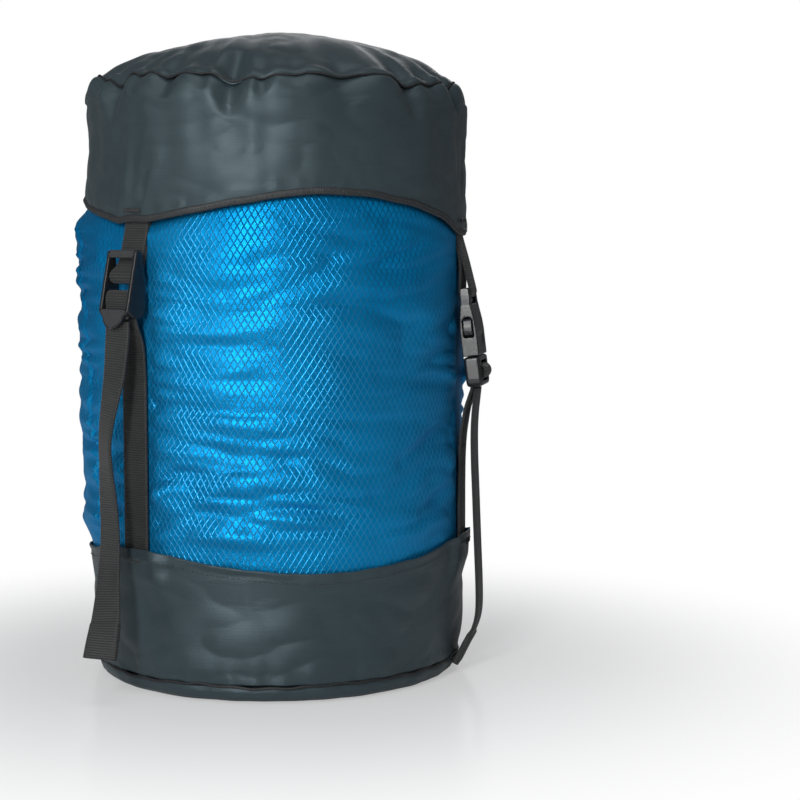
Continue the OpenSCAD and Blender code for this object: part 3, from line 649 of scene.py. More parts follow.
# Painted sheen on the threads: pale low on the cloth, fading to dark going up, broken up by noise.
sheen_fade = math_node(
    tree, "MULTIPLY_ADD", v, 9.0, math_node(tree, "MULTIPLY", noise_node(tree, place, 17.0, 2.0), 2.2)
)
thread_sheen = math_node(tree, "MULTIPLY_ADD", sheen_fade, -0.9, 3.6, clamp=True)
pale = ramp_node(tree, thread_sheen, [(0.0, (0.0015, 0.05, 0.17)), (0.75, (0.06, 0.34, 0.62))])
mixer = add_node(tree, "ShaderNodeMix", data_type="RGBA")
link(tree, math_node(tree, "MULTIPLY", grid, 0.72), mixer.inputs["Factor"])
link(tree, cloth, mixer.inputs[6])
link(tree, pale, mixer.inputs[7])
link(tree, mixer.outputs[2], shader.inputs["Base Color"])
crinkle = math_node(tree, "MULTIPLY", noise_node(tree, place, 260.0, 3.0), 0.8)
fine = math_node(tree, "MULTIPLY_ADD", weave, 0.22, crinkle)
bump_node(tree, shader, math_node(tree, "ADD", math_node(tree, "MULTIPLY", grid, 0.9), fine), 0.55, 0.00028)
dull = math_node(tree, "MULTIPLY_ADD", shade, 0.16, math_node(tree, "MULTIPLY_ADD", grid, -0.06, 0.27))
link(tree, dull, shader.inputs["Roughness"])

tube = wrap_cloth("ripstop_tube", 440, 200, tube_surface, ripstop_material)
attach(tube, "sack")
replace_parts(tube, "body_tube")


# Mouth channel: the tube's top edge is folded over a drawcord channel and pulled into a tight ring of
# pleats. It only shows once the lid is lifted.
def mouth_surface(a, t):
    """The pleated ring, from its outer foot over the top and down inside."""
    points = [
        (0.0042, 0.2995), (0.0042, 0.3085), (0.0058, 0.3106), (0.0092, 0.3109), (0.0122, 0.3098),
        (0.0131, 0.3065), (0.0126, 0.2995)
    ]
    r, z, along = profile(1 - t, points, [0, 0.25, 0.35, 0.5, 0.65, 0.8, 1])
    turn = a + 4 * np.sin(np.radians(a * 3)) + 2 * np.sin(np.radians(a * 5 + 60))
    pleat = np.abs(np.sin(np.radians(turn * 11)))
    deep = ease(r, 0.004, 0.012)
    r = r - 0.0016 * (1 - pleat) * deep
    z = z - 0.0014 * (1 - pleat) * ease(z, 0.306, 0.310)
    return r, z, along


mouth = wrap_cloth("gathered_mouth", 264, 26, mouth_surface, ripstop_material)
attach(mouth, "sack")
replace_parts(mouth, "mouth_channel")


# Base panel: a round of black nylon whose edge turns up to the seam; it is creased where it meets the
# floor and slightly pressed up in the middle by its own stiffness.
black_material, tree, shader = new_material(
    "black_nylon", Specular_IOR_Level=0.6, Specular_Tint=(0.72, 0.92, 1, 1), Sheen_Weight=0.05,
    Sheen_Roughness=0.4
)
place = object_place(tree)
weave = weave_relief(tree, cloth_uv(tree)[0], 2300)
stretch = add_node(tree, "ShaderNodeMapping", Scale=(60, 60, 2600))
link(tree, place, stretch.inputs["Vector"])
slub = noise_node(tree, stretch.outputs[0], 1.0, 3.0, 0.6)
grain = noise_node(tree, place, 1500.0, 2.0, 0.7)
crinkle = noise_node(tree, place, 120.0, 4.0, 0.6)
worn = noise_node(tree, place, 14.0, 3.0)
threads = math_node(tree, "MULTIPLY_ADD", slub, 0.28, math_node(tree, "MULTIPLY", grain, 0.22))
tone = math_node(tree, "MULTIPLY_ADD", worn, 0.5, threads)
stops = [(0.3, (0.0195, 0.031, 0.0364)), (0.5, (0.0268, 0.0412, 0.0474)), (0.7, (0.0372, 0.0553, 0.062))]
link(tree, ramp_node(tree, tone, stops), shader.inputs["Base Color"])
height = math_node(tree, "MULTIPLY_ADD", crinkle, 1.1, math_node(tree, "MULTIPLY", grain, 0.5))
height = math_node(tree, "MULTIPLY_ADD", slub, 0.7, math_node(tree, "MULTIPLY_ADD", weave, 0.35, height))
bump_node(tree, shader, height, 0.5, 0.00022)
dull = math_node(tree, "MULTIPLY_ADD", worn, 0.2, math_node(tree, "MULTIPLY_ADD", slub, 0.12, 0.27))
link(tree, dull, shader.inputs["Roughness"])


def base_surface(a, t):
    """The round, from its middle out to its turned-up edge."""
    points = [
        (0.0003, 0.0006), (0.030, 0.0006), (0.070, 0.0004), (0.0835, 0.0001), (0.0868, 0.0008),
        (0.0889, 0.0026), (0.0899, 0.0055), (0.0897, 0.0078)
    ]
    r, z, along = profile(t, points, [0, 0.2, 0.5, 0.64, 0.74, 0.84, 0.94, 1])
    rim = ease(r, 0.080, 0.088)
    pinch = np.abs(rumple(a, z, 0.018, 0.02, 11))
    r = r + rim * 0.0009 * (pinch - 0.4)
    z = np.maximum(z + 0.0006 * (1 - rim) * np.abs(rumple(a, r * 2, 0.03, 0.02, 12)), 0.0001)
    return r, z, along


base = wrap_cloth("base_round", 240, 50, base_surface, black_material, thickness=0.0009)
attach(base, "sack")
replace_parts(base, "base_panel")


# Base seam: where the base round and the cup are sewn together, their edges make a thin wavy ridge of
# black cloth and thread.
seam_material, tree, shader = new_material("dark_seam", Roughness=0.6)
grain = noise_node(tree, object_place(tree), 1400.0, 3.0)
stops = [(0.3, (0.006, 0.0065, 0.007)), (0.75, (0.02, 0.022, 0.024))]
link(tree, ramp_node(tree, grain, stops), shader.inputs["Base Color"])
bump_node(tree, shader, grain, 0.6, 0.0002)


def ridge_ring(name, columns, middle, radius, material):
    """A thin ridge right round the sack: middle(turns) gives the radius and the height of its line."""
    def surface(a, t):
        r, z = middle(a)
        around = 2 * math.pi * t
        size = radius(a)
        return r + size * np.sin(around), z - size * np.cos(around), t * 0.006
    return wrap_cloth(name, columns, 10, surface, material)


def base_seam_line(a):
    z = 0.0082 + 0.0007 * waver(a, 0.03, 13) + 0.0003 * np.sin(np.radians(a * 34))
    return 0.0903 + 0.0004 * waver(a, 0.02, 14), z


base_seam = ridge_ring(
    "base_seam_ridge", 480, base_seam_line, lambda a: 0.00075 + 0.0001 * np.sin(np.radians(a * 150)),
    seam_material
)
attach(base_seam, "sack")
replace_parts(base_seam, "base_seam")


# Base cup: a band of black nylon sewn round the foot of the tube. Its folded top edge is stitched down
# and rises to a tab at each strap; the cloth is tight, with soft dents and small puckers at the edge.
cup_folds = [
    (-152, 5, 1.2), (-128, 4, 1.0), (-112, 7, 1.0), (-96, 4, 0.7), (-72, 6, 1.1), (-58, 4, 0.8),
    (-42, 6, 1.2), (-28, 4, 0.9), (4, 6, 1.1), (28, 5, 1.0), (52, 7, 1.2), (76, 4, 0.8), (92, 5, 1.0),
    (118, 4, 1.0), (140, 7, 1.2), (162, 5, 0.9), (178, 6, 1.2), (-170, 5, 1.0)
]
CUP_FOOT_Z, POCKET_DEPTH = 0.0088, 0.00245


def cup_edge(a):
    """The height of the cup's folded top edge, with its small waves."""
    return cup_z(a) + 0.0004 * waver(a, 0.012, 21)


def cup_surface(a, t):
    """The band from its foot to its top edge; it stands out over the straps that are sewn under it."""
    edge = cup_edge(a)
    z = CUP_FOOT_Z + (edge - CUP_FOOT_Z) * t
    along = z - CUP_FOOT_Z
    r = np.interp(
        z, [0.0086, 0.016, 0.032, 0.048, 0.058, 0.075], [0.0903, 0.0914, 0.0924, 0.0930, 0.0937, 0.0939]
    )
    pocket = POCKET_DEPTH * (1 - ease(strap_away(a), 7.5, 13)) * ease(z, 0.045, 0.058)
    r = r + pocket
    dent = np.zeros_like(a)
    for turn, width, depth in cup_folds:
        lean = 14 * (z - 0.035) / 0.03 * math.sin(turn)
        rise = 0.4 + 0.6 * np.sin(math.pi * np.clip((z - 0.005) / 0.06, 0, 1))
        dent -= depth / 1000 * near(a, turn + lean, width) * rise
    body = ease(z, CUP_FOOT_Z, 0.014) * (1 - ease(z, edge - 0.004, edge))
    soft = 0.0011 * rumple(a, z, 0.045, 0.03, 22) + 0.0012 * (np.abs(rumple(a, z, 0.03, 0.014, 23)) - 0.3)
    pucker_low = 0.0006 * waver(a, 0.008, 24) * (1 - ease(z, 0.012, 0.028))
    pucker_high = 0.0005 * waver(a, 0.007, 25) * ease(z, edge - 0.016, edge - 0.005)
    hem = 0.00045 * ease(z, edge - 0.0062, edge - 0.0056)
    r = r + (dent + soft) * body + pucker_low + pucker_high + hem
    # It stays outside the tube and the straps.
    inner = np.interp(z, [0.0086, 0.030, 0.046, 0.058, 0.075], [0.0895, 0.0914, 0.0915, 0.0931, 0.0932])
    return np.maximum(r, inner + pocket + 0.0002), z, along


cup = wrap_cloth("base_cup", 400, 70, cup_surface, black_material, thickness=0.0006)
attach(cup, "sack")
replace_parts(cup, "cup_wall")


def stitch_row(name, count, place_of, length, thick, material, share=0.62):
    """A row of lockstitches: each is a short thread that dips into the cloth at both ends."""
    vertices, faces = [], []
    ring = 5
    stops = [(-0.5, 0.25, -0.5), (-0.36, 0.85, 0.1), (0.0, 1.0, 0.42), (0.36, 0.85, 0.1), (0.5, 0.25, -0.5)]
    for i in range(count):
        p, t, out = place_of((i + 0.5) / count)
        t = t / np.linalg.norm(t)
        out = out - t * out.dot(t)
        out /= np.linalg.norm(out)
        side = np.cross(out, t)
        base_index = len(vertices)
        for s, size, lift in stops:
            middle = p + t * s * length * share + out * thick * lift
            for j in range(ring):
                w = 2 * math.pi * j / ring
                vertices.append(middle + (side * math.cos(w) + out * math.sin(w) * 0.8) * thick / 2 * size)
        for s in range(len(stops) - 1):
            for j in range(ring):
                k = (j + 1) % ring
                b = base_index + s * ring
                faces.append((b + j, b + k, b + ring + k, b + ring + j))
        faces.append(tuple(base_index + j for j in reversed(range(ring))))
        faces.append(tuple(base_index + (len(stops) - 1) * ring + j for j in range(ring)))
    return mesh_object(name, vertices, faces, material)


def ring_place(surface_point):
    """Turns a function of the turn in degrees into a place, a direction along and one outwards."""
    def at(share):
        a = 360 * share
        p, q = surface_point(a), surface_point(a + 0.5)
        return p, q - p, turned((1, 0, 0), a)
    return at


def on_surface(surface, height_of, low, high, lift):
    """The point of a wrapped surface at a turn, at the height that height_of gives."""
    def at(a):
        turns = np.full(40, float(a))
        shares = np.linspace(low, high, 40)
        r, z, _ = surface(turns, shares)
        want = float(height_of(np.array([float(a)]))[0])
        rr = float(np.interp(want, z, r)) + lift
        return turned((rr, 0, want), a)
    return at


thread_material, tree, shader = new_material("black_thread", Roughness=0.45, Sheen_Weight=0.2)
twist = noise_node(tree, object_place(tree), 3000.0, 1.0)
stops = [(0.3, (0.010, 0.0115, 0.012)), (0.7, (0.035, 0.038, 0.040))]
link(tree, ramp_node(tree, twist, stops), shader.inputs["Base Color"])

cup_stitches = stitch_row(
    "cup_edge_stitches", 236,
    ring_place(on_surface(cup_surface, lambda a: cup_edge(a) - 0.0048, 0.5, 1.0, 0.0001)), 0.0025, 0.00038,
    thread_material
)
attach(cup_stitches, "sack")


# Lid wall: black nylon, sewn to the crown and hanging free over the tube. Where it is gathered into the
# crown's seam it makes deep puckers; its lower edge dips to a tab at each strap.
# Each pucker: turn, half width in degrees, depth and reach below the seam, depth and reach above it, in mm.
puckers = [
    (-145, 5.0, 5.0, 17, 1.2, 6), (-134, 3.0, 2.2, 10, 0.8, 5), (-123.5, 3.4, 4.0, 10, 0.8, 5),
    (-112, 3.0, 2.0, 7, 0.5, 4), (-103.2, 4.2, 5.6, 16, 4.2, 16), (-94, 2.4, 2.6, 8, 0.6, 4),
    (-84, 3.0, 1.2, 6, 0.8, 9), (-69, 7.5, 3.8, 13, 1.6, 8), (-47.5, 4.2, 3.2, 15, 1.4, 9),
    (-36, 4.0, 1.6, 8, 1.6, 9), (-24, 3.2, 3.6, 12, 2.0, 8), (-4, 5.0, 4.4, 14, 2.4, 12),
    (17, 4.0, 3.0, 10, 1.2, 6), (33, 5.5, 4.6, 15, 2.0, 9), (54, 4.2, 3.4, 11, 1.4, 8),
    (72, 5.0, 4.8, 14, 3.2, 12), (93, 4.0, 3.0, 10, 1.0, 6), (111, 5.4, 4.4, 15, 2.2, 10),
    (131, 4.0, 3.2, 10, 1.4, 7), (150, 5.4, 4.6, 14, 2.6, 12), (170, 4.2, 3.4, 11, 1.2, 6),
    (-172, 4.6, 4.2, 14, 2.0, 8), (-157, 3.6, 2.6, 9, 1.0, 6)
]


def pinched(a):
    """How deep the seam is pulled in, from 0 to 1."""
    return np.max(
        [near(a, turn, width * 1.15) * min(1, depth / 5) for turn, width, depth, *_ in puckers], axis=0
    )


def rim_line(a):
    """The line of the crown's seam: it dips and runs inwards at each pucker."""
    z = 0.2884 + 0.0017 * waver(a, 0.030, 31) + 0.0007 * waver(a, 0.011, 32) - 0.0040 * pinched(a)
    z = z + 0.0022 * near(a, 180, 45) - 0.0006 * near(a, -40, 40)
    r = 0.0893 - 0.0016 * pinched(a) + 0.0005 * waver(a, 0.02, 33) - 0.0012 * near(a, 180, 50)
    return r, z


def hem_edge(a):
    """The lid's lower edge; the tab at the front strap sits a little higher than the others."""
    z = hem_z(a) + 0.0035 * near(a, FRONT, 17) - 0.0022 * near(a, RIGHT, 16) - 0.0016 * near(a, REAR, 16)
    return z + 0.0004 * waver(a, 0.016, 34)


def lid_wall_surface(a, t):
    """The wall from its lower edge to the crown's seam."""
    low = hem_edge(a)
    rim_r, rim_z = rim_line(a)
    turn_z = rim_z - 0.0105
    z = np.where(t < 0.8, low + (turn_z - low) * t / 0.8, turn_z)
    r = np.interp(z, [0.215, 0.236, 0.256, 0.268, 0.279], [0.0939, 0.0938, 0.0928, 0.0931, 0.0936])
    bow = 0.0007 * near(a, -20, 50) + 0.0002 * near(a, -90, 40) - 0.0007 * near(a, 180, 40)
    r = r + bow * ease(z, 0.236, 0.256)
    # Above the turn, the cloth rounds over in an arc to the seam.
    s = np.clip((t - 0.8) / 0.2, 0, 1)
    arc_r = np.interp(turn_z, [0.268, 0.279], [0.0931, 0.0936])
    r = np.where(t < 0.8, r, rim_r + (arc_r - rim_r) * np.cos(s * math.pi / 2) ** 0.8)
    z = np.where(t < 0.8, z, turn_z + (rim_z - 0.0004 - turn_z) * np.sin(s * math.pi / 2))
    below = np.maximum(rim_z - z, 0)
    dent = np.zeros_like(a)
    for turn, width, depth, reach, _, _ in puckers:
        share = np.clip(below / (reach / 1000), 0, 1.6)
        narrow = width * (1.15 - 0.55 * np.minimum(share, 1))
        middle = turn + 1.2 * math.sin(turn) * share
        dent -= depth / 1000 * near(a, middle, narrow) * np.clip(1.06 - share ** 1.5, 0, 1)
        # A long faint fold runs on down from each deep pucker, with a soft ridge beside it.
        tail = np.exp(-((below - 0.026) / 0.017) ** 2)
        fold, ridge = near(a, turn + 1.5, width * 0.9), near(a, turn - width * 1.3, width * 0.9)
        dent += (-0.0007 * fold + 0.0006 * ridge) * tail * min(1, depth / 5)
    body = ease(z, low + 0.001, low + 0.010)
    ripple = np.abs(rumple(a, z, 0.020, 0.012, 37)) - 0.25
    soft = 0.0012 * rumple(a, z, 0.050, 0.035, 35) + 0.0009 * rumple(a, z, 0.026, 0.05, 36) + 0.0008 * ripple
    # Faint tension lines fan out upwards from each strap's tab.
    up = np.clip((z - 0.222) / 0.045, 0, 1)
    for turn in (FRONT, RIGHT, REAR):
        for lean, start in ((-7, -3.5), (-2.5, -1.5), (3, 1.5), (8, 4.0)):
            soft = soft + 0.00055 * near(a, turn + start + lean * up, 1.3 + 1.2 * up) * np.sin(np.pi * up)
    pinch = 0.00045 * waver(a, 0.006, 38) * (1 - ease(z, low + 0.004, low + 0.014))
    pinch = pinch * ease(z, low + 0.0015, low + 0.004)
    r = r + dent + soft * body + pinch
    r = np.maximum(r, 0.0926 - 0.02 * ease(z, low + 0.006, low + 0.02))
    along = z - 0.215
    return r, z, along


lid_wall = wrap_cloth("lid_wall_cloth", 480, 84, lid_wall_surface, black_material, thickness=0.0007)
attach(lid_wall, "lid")
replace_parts(lid_wall, "lid_wall")


# Lid rim seam: the line of stitching where the crown and the wall are gathered together. It is sunk
# between them, and dips at every pucker.
rim_seam = ridge_ring(
    "lid_rim_seam_line", 480, lambda a: (rim_line(a)[0] + 0.0001, rim_line(a)[1]),
    lambda a: 0.00055 + 0.0001 * np.sin(np.radians(a * 170)), seam_material
)
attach(rim_seam, "lid")
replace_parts(rim_seam, "lid_rim_seam")


# Lid crown: a round of black nylon domed over the stuffed load. It is dented where the load is soft, and
# the gathers of the seam run a little way into it.
CROWN_R, RIM_Z, CROWN_RISE, CROWN_POWER = 0.090, 0.286, 0.027, 3.4


def crown_surface(a, t):
    """The domed round, from the seam to its middle."""
    rim_r, rim_z = rim_line(a)
    share = 1 - t
    r = np.maximum(rim_r * share ** 0.92, 0.0002)
    edge = r / rim_r
    z = rim_z + (RIM_Z + CROWN_RISE - rim_z) * (1 - edge ** CROWN_POWER)
    inward = rim_r - r
    dent = np.zeros_like(a)
    for turn, width, _, _, depth, reach in puckers:
        s = np.clip(inward / (reach / 1000), 0, 1.5)
        wave = np.sin(math.pi * np.clip(0.12 + 0.75 * s, 0, 1))
        dent -= depth / 1000 * near(a, turn, width * (1.1 - 0.5 * np.minimum(s, 1))) * wave * (s < 1.2)
    lip = 0.0011 * np.exp(-((inward - 0.0022) / 0.002) ** 2)
    ripple = np.abs(rumple(a, r * 2, 0.026, 0.03, 42)) - 0.3
    soft = 0.0016 * rumple(a, r * 3, 0.045, 0.08, 41) * edge + 0.0010 * ripple * edge
    droop = -(0.0036 * near(a, 180, 60) + 0.0014 * near(a, -20, 45)) * np.sin(math.pi * np.clip(edge, 0, 1))
    fade = ease(inward, 0.0, 0.006)
    z = z + dent + (soft - 0.0012 * edge) * fade + lip + droop * fade
    top = RIM_Z + CROWN_RISE * (1 - (np.minimum(r, CROWN_R) / CROWN_R) ** CROWN_POWER) + 0.0012
    return r + lip * 0.35, np.minimum(z, top), (TUBE_R - r) + 0.1


crown = wrap_cloth("lid_crown_cloth", 400, 64, crown_surface, black_material, thickness=0.0006)
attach(crown, "lid")
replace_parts(crown, "lid_crown")


# Lid binding: a narrow ribbed nylon tape folded over the lid's lower edge, and sewn down with one row
# of stitches.
TAPE_RIB_PITCH = 0.0008
binding_material, tree, shader = new_material("ribbed_tape", Roughness=0.5)
ribs = wave_node(tree, cloth_uv(tree)[1], math.pi / TAPE_RIB_PITCH)
grain = noise_node(tree, object_place(tree), 1200.0, 2.0)
tone = math_node(tree, "MULTIPLY_ADD", ribs, 0.6, math_node(tree, "MULTIPLY", grain, 0.4))
stops = [(0.1, (0.006, 0.007, 0.008)), (0.9, (0.030, 0.034, 0.036))]
link(tree, ramp_node(tree, tone, stops), shader.inputs["Base Color"])
bump_node(tree, shader, tone, 0.7, 0.0002)


def binding_surface(a, t):
    """The folded tape: up inside the edge, round under it, and up the outer face."""
    low = hem_edge(a)
    section = [
        (0.0925, 0.0034), (0.0925, 0.0001), (0.0929, -0.0003), (0.0938, -0.0004), (0.0943, 0.0000),
        (0.0945, 0.0008), (0.0945, 0.0020), (0.0943, 0.0027), (0.0938, 0.0030)
    ]
    stops = np.linspace(0, 1, len(section))
    r = np.interp(t, stops, [p[0] for p in section])
    z = low + np.interp(t, stops, [p[1] for p in section])
    wave = 0.00018 * waver(a, 0.006, 45)
    return r + wave * (r > 0.0932), z, t * 0.008


binding = wrap_cloth("lid_binding_tape", 600, 16, binding_surface, binding_material)
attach(binding, "lid")
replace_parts(binding, "lid_hem_binding")


def binding_point(a):
    low = float(hem_edge(np.array([float(a)]))[0])
    return turned((0.09462, 0, low + 0.0014), a)


hem_stitches = stitch_row("lid_hem_stitches", 250, ring_place(binding_point), 0.0024, 0.0004, thread_material)
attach(hem_stitches, "lid")


# Strap runs: the same webbing, sewn under the cup's edge and pulled tight up the sack to its buckle. As the
# straps are let out the lid rises, so each run reaches from the sack to the lid.
def strap_line(points):
    """A smooth webbing line from points of (distance from the axis, height) in millimetres."""
    rows = [(r / 1000, 0, z / 1000, 0) for r, z in points]
    return smooth_line(rows, RIB_PITCH / 2)


front_run = [
    (93.5, 59.5), (93.5, 80), (93.5, 110), (93.55, 140), (93.7, 152), (94.9, 165), (98.4, 174.5),
    (99.35, 181.3)
]
side_run = [(93.5, 59.5), (93.5, 75), (93.5, 95), (93.65, 106), (93.95, 113)]
for name, run, station in (
    ("front_leg", front_run, FRONT), ("right_leg", side_run, RIGHT), ("rear_leg", side_run, REAR)
):
    leg = weave_webbing(name + "_webbing", strap_line(run), station, webbing_material)
    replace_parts(leg, name)
    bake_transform(leg)


# Lid loops: at each strap a short length of webbing is sewn inside the lid's edge, folded round the bar
# of its buckle, so that the buckle hangs from the lid.
def arc_points(centre, radius, start, end, count):
    turns = np.radians(np.linspace(start, end, count + 1))
    return [(centre[0] + radius * math.cos(w), centre[1] + radius * math.sin(w)) for w in turns]


def loop_points(bar, bar_radius):
    """A closed loop from the lid's edge down round the bar and back up, in millimetres."""
    r = bar_radius + 0.85
    front, back = (95.25, 203), (93.55, 203)

    def lean_of(p):
        return math.degrees(math.atan2(p[1] - bar[1], p[0] - bar[0]))

    def spread(p):
        return math.degrees(math.acos(r / math.hypot(p[0] - bar[0], p[1] - bar[1])))

    turn = arc_points(bar, r, lean_of(front) - spread(front), lean_of(back) + spread(back) - 360, 12)
    return [
        (91.0, 228), (91.0, 219.5), (92.3, 213.5), front, *turn, back, (90.6, 213.5), (89.5, 219),
        (89.4, 228)
    ]


LOCK_BAR_R, SOCKET_BAR_R = 1.75, 1.8
SOCKET_BAR = (96.3, 188.08)
front_loop = weave_webbing(
    "front_loop_webbing", strap_line(loop_points(LOCK, LOCK_BAR_R)), FRONT, webbing_material, start=0.003
)
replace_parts(front_loop, "front_lid_loop")
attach(front_loop, "lid")
for name, station in (("right_lid_loop", RIGHT), ("rear_lid_loop", REAR)):
    loop = weave_webbing(
        name + "_webbing", strap_line(loop_points(SOCKET_BAR, SOCKET_BAR_R)), station, webbing_material,
        start=0.003
    )
    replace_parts(loop, name)
    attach(loop, "lid")


# Bar tacks: dense zigzag stitching that holds the webbing through the cloth at the cup and the lid. Each
# is of black thread, and a little narrower than the webbing.
def bar_tack(name, station, r, z):
    """One tack across a strap, at a distance from the axis and a height."""
    def at(share):
        y = (share - 0.5) * 0.0118
        p = turned((r - 0.5 * y * y / r + 0.00012, y, z), station)
        zig = 0.35 if int(share * 30) % 2 else -0.35
        along = turned((0.0, zig, 1.0), station)
        return p, along, turned((1.0, 0, 0), station)
    return stitch_row(name, 30, at, 0.0034, 0.00042, thread_material, share=0.72)


for station, name in ((FRONT, "front"), (RIGHT, "right"), (REAR, "rear")):
    tack = bar_tack(name + "_cup_bar_tack", station, 0.09675, 0.0648)
    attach(tack, "sack")
    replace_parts(tack, name + "_cup_tack")
    tack = bar_tack(name + "_lid_bar_tack", station, 0.0945, 0.2268 if station == FRONT else 0.2225)
    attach(tack, "lid")
    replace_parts(tack, name + "_lid_tack")


# Ladder lock: one black moulded piece with two wedge-shaped rails, a loop bar, a smooth frame bar across
# the top, a grip bar that bites the webbing, and a rounded thumb tab at the foot.
plastic_material, tree, shader = new_material("black_plastic", Specular_IOR_Level=0.5)
place = object_place(tree)
smear = noise_node(tree, place, 140.0, 3.0)
# Convex edges are coloured lighter: a painted highlight along the moulding's edges.
edge_pointiness = add_node(tree, "ShaderNodeNewGeometry").outputs["Pointiness"]
painted_edge_light = math_node(tree, "MULTIPLY_ADD", edge_pointiness, 9.0, -4.45, clamp=True)
tone = math_node(tree, "MULTIPLY_ADD", smear, 0.5, math_node(tree, "MULTIPLY", painted_edge_light, 0.8))
stops = [(0.2, (0.0075, 0.0078, 0.0085)), (0.55, (0.012, 0.0125, 0.0135)), (1.0, (0.045, 0.047, 0.05))]
link(tree, ramp_node(tree, tone, stops), shader.inputs["Base Color"])
bump_node(tree, shader, noise_node(tree, place, 2400.0, 3.0), 0.28, 0.00006)
link(tree, math_node(tree, "MULTIPLY_ADD", smear, 0.16, 0.22), shader.inputs["Roughness"])


def slab(outline, width, rounding=0.6, sideways=False, middle=0.0):
    """A moulded slab in millimetres: its outline, how wide it is, and its edges rounded over.
    The outline is (outwards, up) and the width sideways, or with sideways=True the other way."""
    bpy.ops.object.select_all(action="DESELECT")
    bpy.ops.mesh.primitive_circle_add(vertices=len(outline), radius=1, fill_type="NGON")
    o = bpy.context.object
    for v, (x, z) in zip(o.data.vertices, outline):
        v.co = (middle - width / 2, x, z) if sideways else (x, middle - width / 2, z)
    bpy.ops.object.mode_set(mode="EDIT")
    bpy.ops.mesh.select_all(action="SELECT")
    step = (width, 0, 0) if sideways else (0, width, 0)
    bpy.ops.mesh.extrude_region_move(TRANSFORM_OT_translate={"value": step})
    bpy.ops.mesh.select_all(action="SELECT")
    bpy.ops.mesh.normals_make_consistent(inside=False)
    bpy.ops.object.mode_set(mode="OBJECT")
    if rounding:
        applied(o, "BEVEL", width=rounding, segments=3, limit_method="ANGLE", angle_limit=math.radians(35))
    return o


def round_bar(x, z, radius, length, flat=1.0):
    """A bar across the buckle, in millimetres; flat above 1 makes it taller than it is thick."""
    bpy.ops.object.select_all(action="DESELECT")
    bpy.ops.mesh.primitive_cylinder_add(
        vertices=40, radius=radius, depth=length, location=(x, 0, z), rotation=(math.pi / 2, 0, 0)
    )
    o = bpy.context.object
    o.scale = (1, flat, 1)
    bpy.ops.object.transform_apply(location=True, rotation=True, scale=True)
    return o


def carve(body, other, operation="DIFFERENCE"):
    """Takes the other shape out of the body, or with INTERSECT keeps what they share."""
    bpy.ops.object.select_all(action="DESELECT")
    bpy.context.view_layer.objects.active = body
    body.select_set(True)
    applied(body, "BOOLEAN", operation=operation, object=other, solver="EXACT")
    bpy.data.objects.remove(other)


def mould(name, shapes, place, grain=0.3, passes=5):
    """Melts the shapes into one moulded piece with softened edges, and puts it in its place in metres."""
    bpy.ops.object.select_all(action="DESELECT")
    for o in shapes:
        o.select_set(True)
    bpy.context.view_layer.objects.active = shapes[0]
    if len(shapes) > 1:
        bpy.ops.object.join()
    o = bpy.context.object
    o.name = name
    applied(o, "REMESH", mode="VOXEL", voxel_size=grain)
    applied(o, "SMOOTH", factor=0.5, iterations=passes)
    o.data.transform(place @ Matrix.Scale(0.001, 4))
    clothed(o, plastic_material)
    return o


LOCK_LEAN = 12


def strap_place(station, at, lean):
    """Where a buckle's own frame is: on the strap, out and up in millimetres, its foot leaning outwards."""
    turn, tilt = Matrix.Rotation(math.radians(station), 4, "Z"), Matrix.Rotation(math.radians(-lean), 4, "Y")
    return turn @ Matrix.Translation((at[0] / 1000, 0, at[1] / 1000)) @ tilt


rail = [
    (4.6, 10.7), (3.6, 11.7), (1.5, 11.7), (0.2, 8.6), (-1, 5), (-2.3, 2.6), (-3.5, 0), (-5.0, -7),
    (-6.4, -14.4), (-6.1, -16.4), (-5.2, -17.8), (-3.4, -19), (-1.2, -19.2), (0.6, -18.9), (2.8, -18.0),
    (4.6, -16.4)
]
lock_shapes = [slab(rail, 2.0, 0.55, middle=s * 9.2) for s in (-1, 1)]
lock_shapes.append(slab([(4.6, 8.0), (4.6, 11.2), (4.1, 11.7), (2.6, 11.7), (2.5, 8.0)], 18.4, 0.5))
lock_shapes.append(round_bar(0, 0, LOCK_BAR_R, 18.4))
grip = [
    (1.9, -8.6), (1.9, -11.8), (1.4, -12.2), (0.4, -12.2), (-0.1, -11.8), (-0.1, -8.6), (0.4, -8.2),
    (1.4, -8.2)
]
lock_shapes.append(slab(grip, 18.4, 0.3))
tab = [
    (-10.1, -16.0), (-10.1, -17.0), (-9.0, -18.3), (-7.4, -19.4), (-6.6, -20.6), (-6.2, -21.8),
    (-5.0, -23.3), (-3.4, -24.4), (-1.7, -25.0), (0, -25.2), (1.7, -25.0), (3.4, -24.4), (5.0, -23.3),
    (6.2, -21.8), (6.6, -20.6), (7.4, -19.4), (9.0, -18.3), (10.1, -17.0), (10.1, -16.0)
]
lock_shapes.append(slab(tab, 2.0, 0.55, sideways=True, middle=3.6))
lock = mould("ladder_lock_moulding", lock_shapes, strap_place(FRONT, LOCK, LOCK_LEAN))
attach(lock, "ladder_lock")
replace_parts(lock, "ladder_lock")


# Webbing in the ladder lock: it goes up behind the grip bar, over it, and back down behind the thumb tab.
# It is the strap itself, held by nothing but the grip bar.
def leaned(points, lean, at):
    """Points of a buckle's own frame as (distance from the axis, height)."""
    c, s = math.cos(math.radians(lean)), math.sin(math.radians(lean))
    return [(at[0] + x * c - y * s, at[1] + x * s + y * c) for x, y in points]


over_grip = [
    (-1.75, -15.2), (-1.5, -13.4), (-0.98, -11.8), *arc_points((0.9, -9.2), 1.85, 180, 0, 8),
    *arc_points((0.9, -11.2), 1.85, 0, -30, 2), (1.9, -14.2), (1.65, -16.6), (1.6, -20)
]
front_wrap = weave_webbing(
    "front_wrap_webbing", strap_line(leaned(over_grip, LOCK_LEAN, LOCK)), FRONT, webbing_material
)
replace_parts(front_wrap, "front_wrap")
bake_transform(front_wrap)


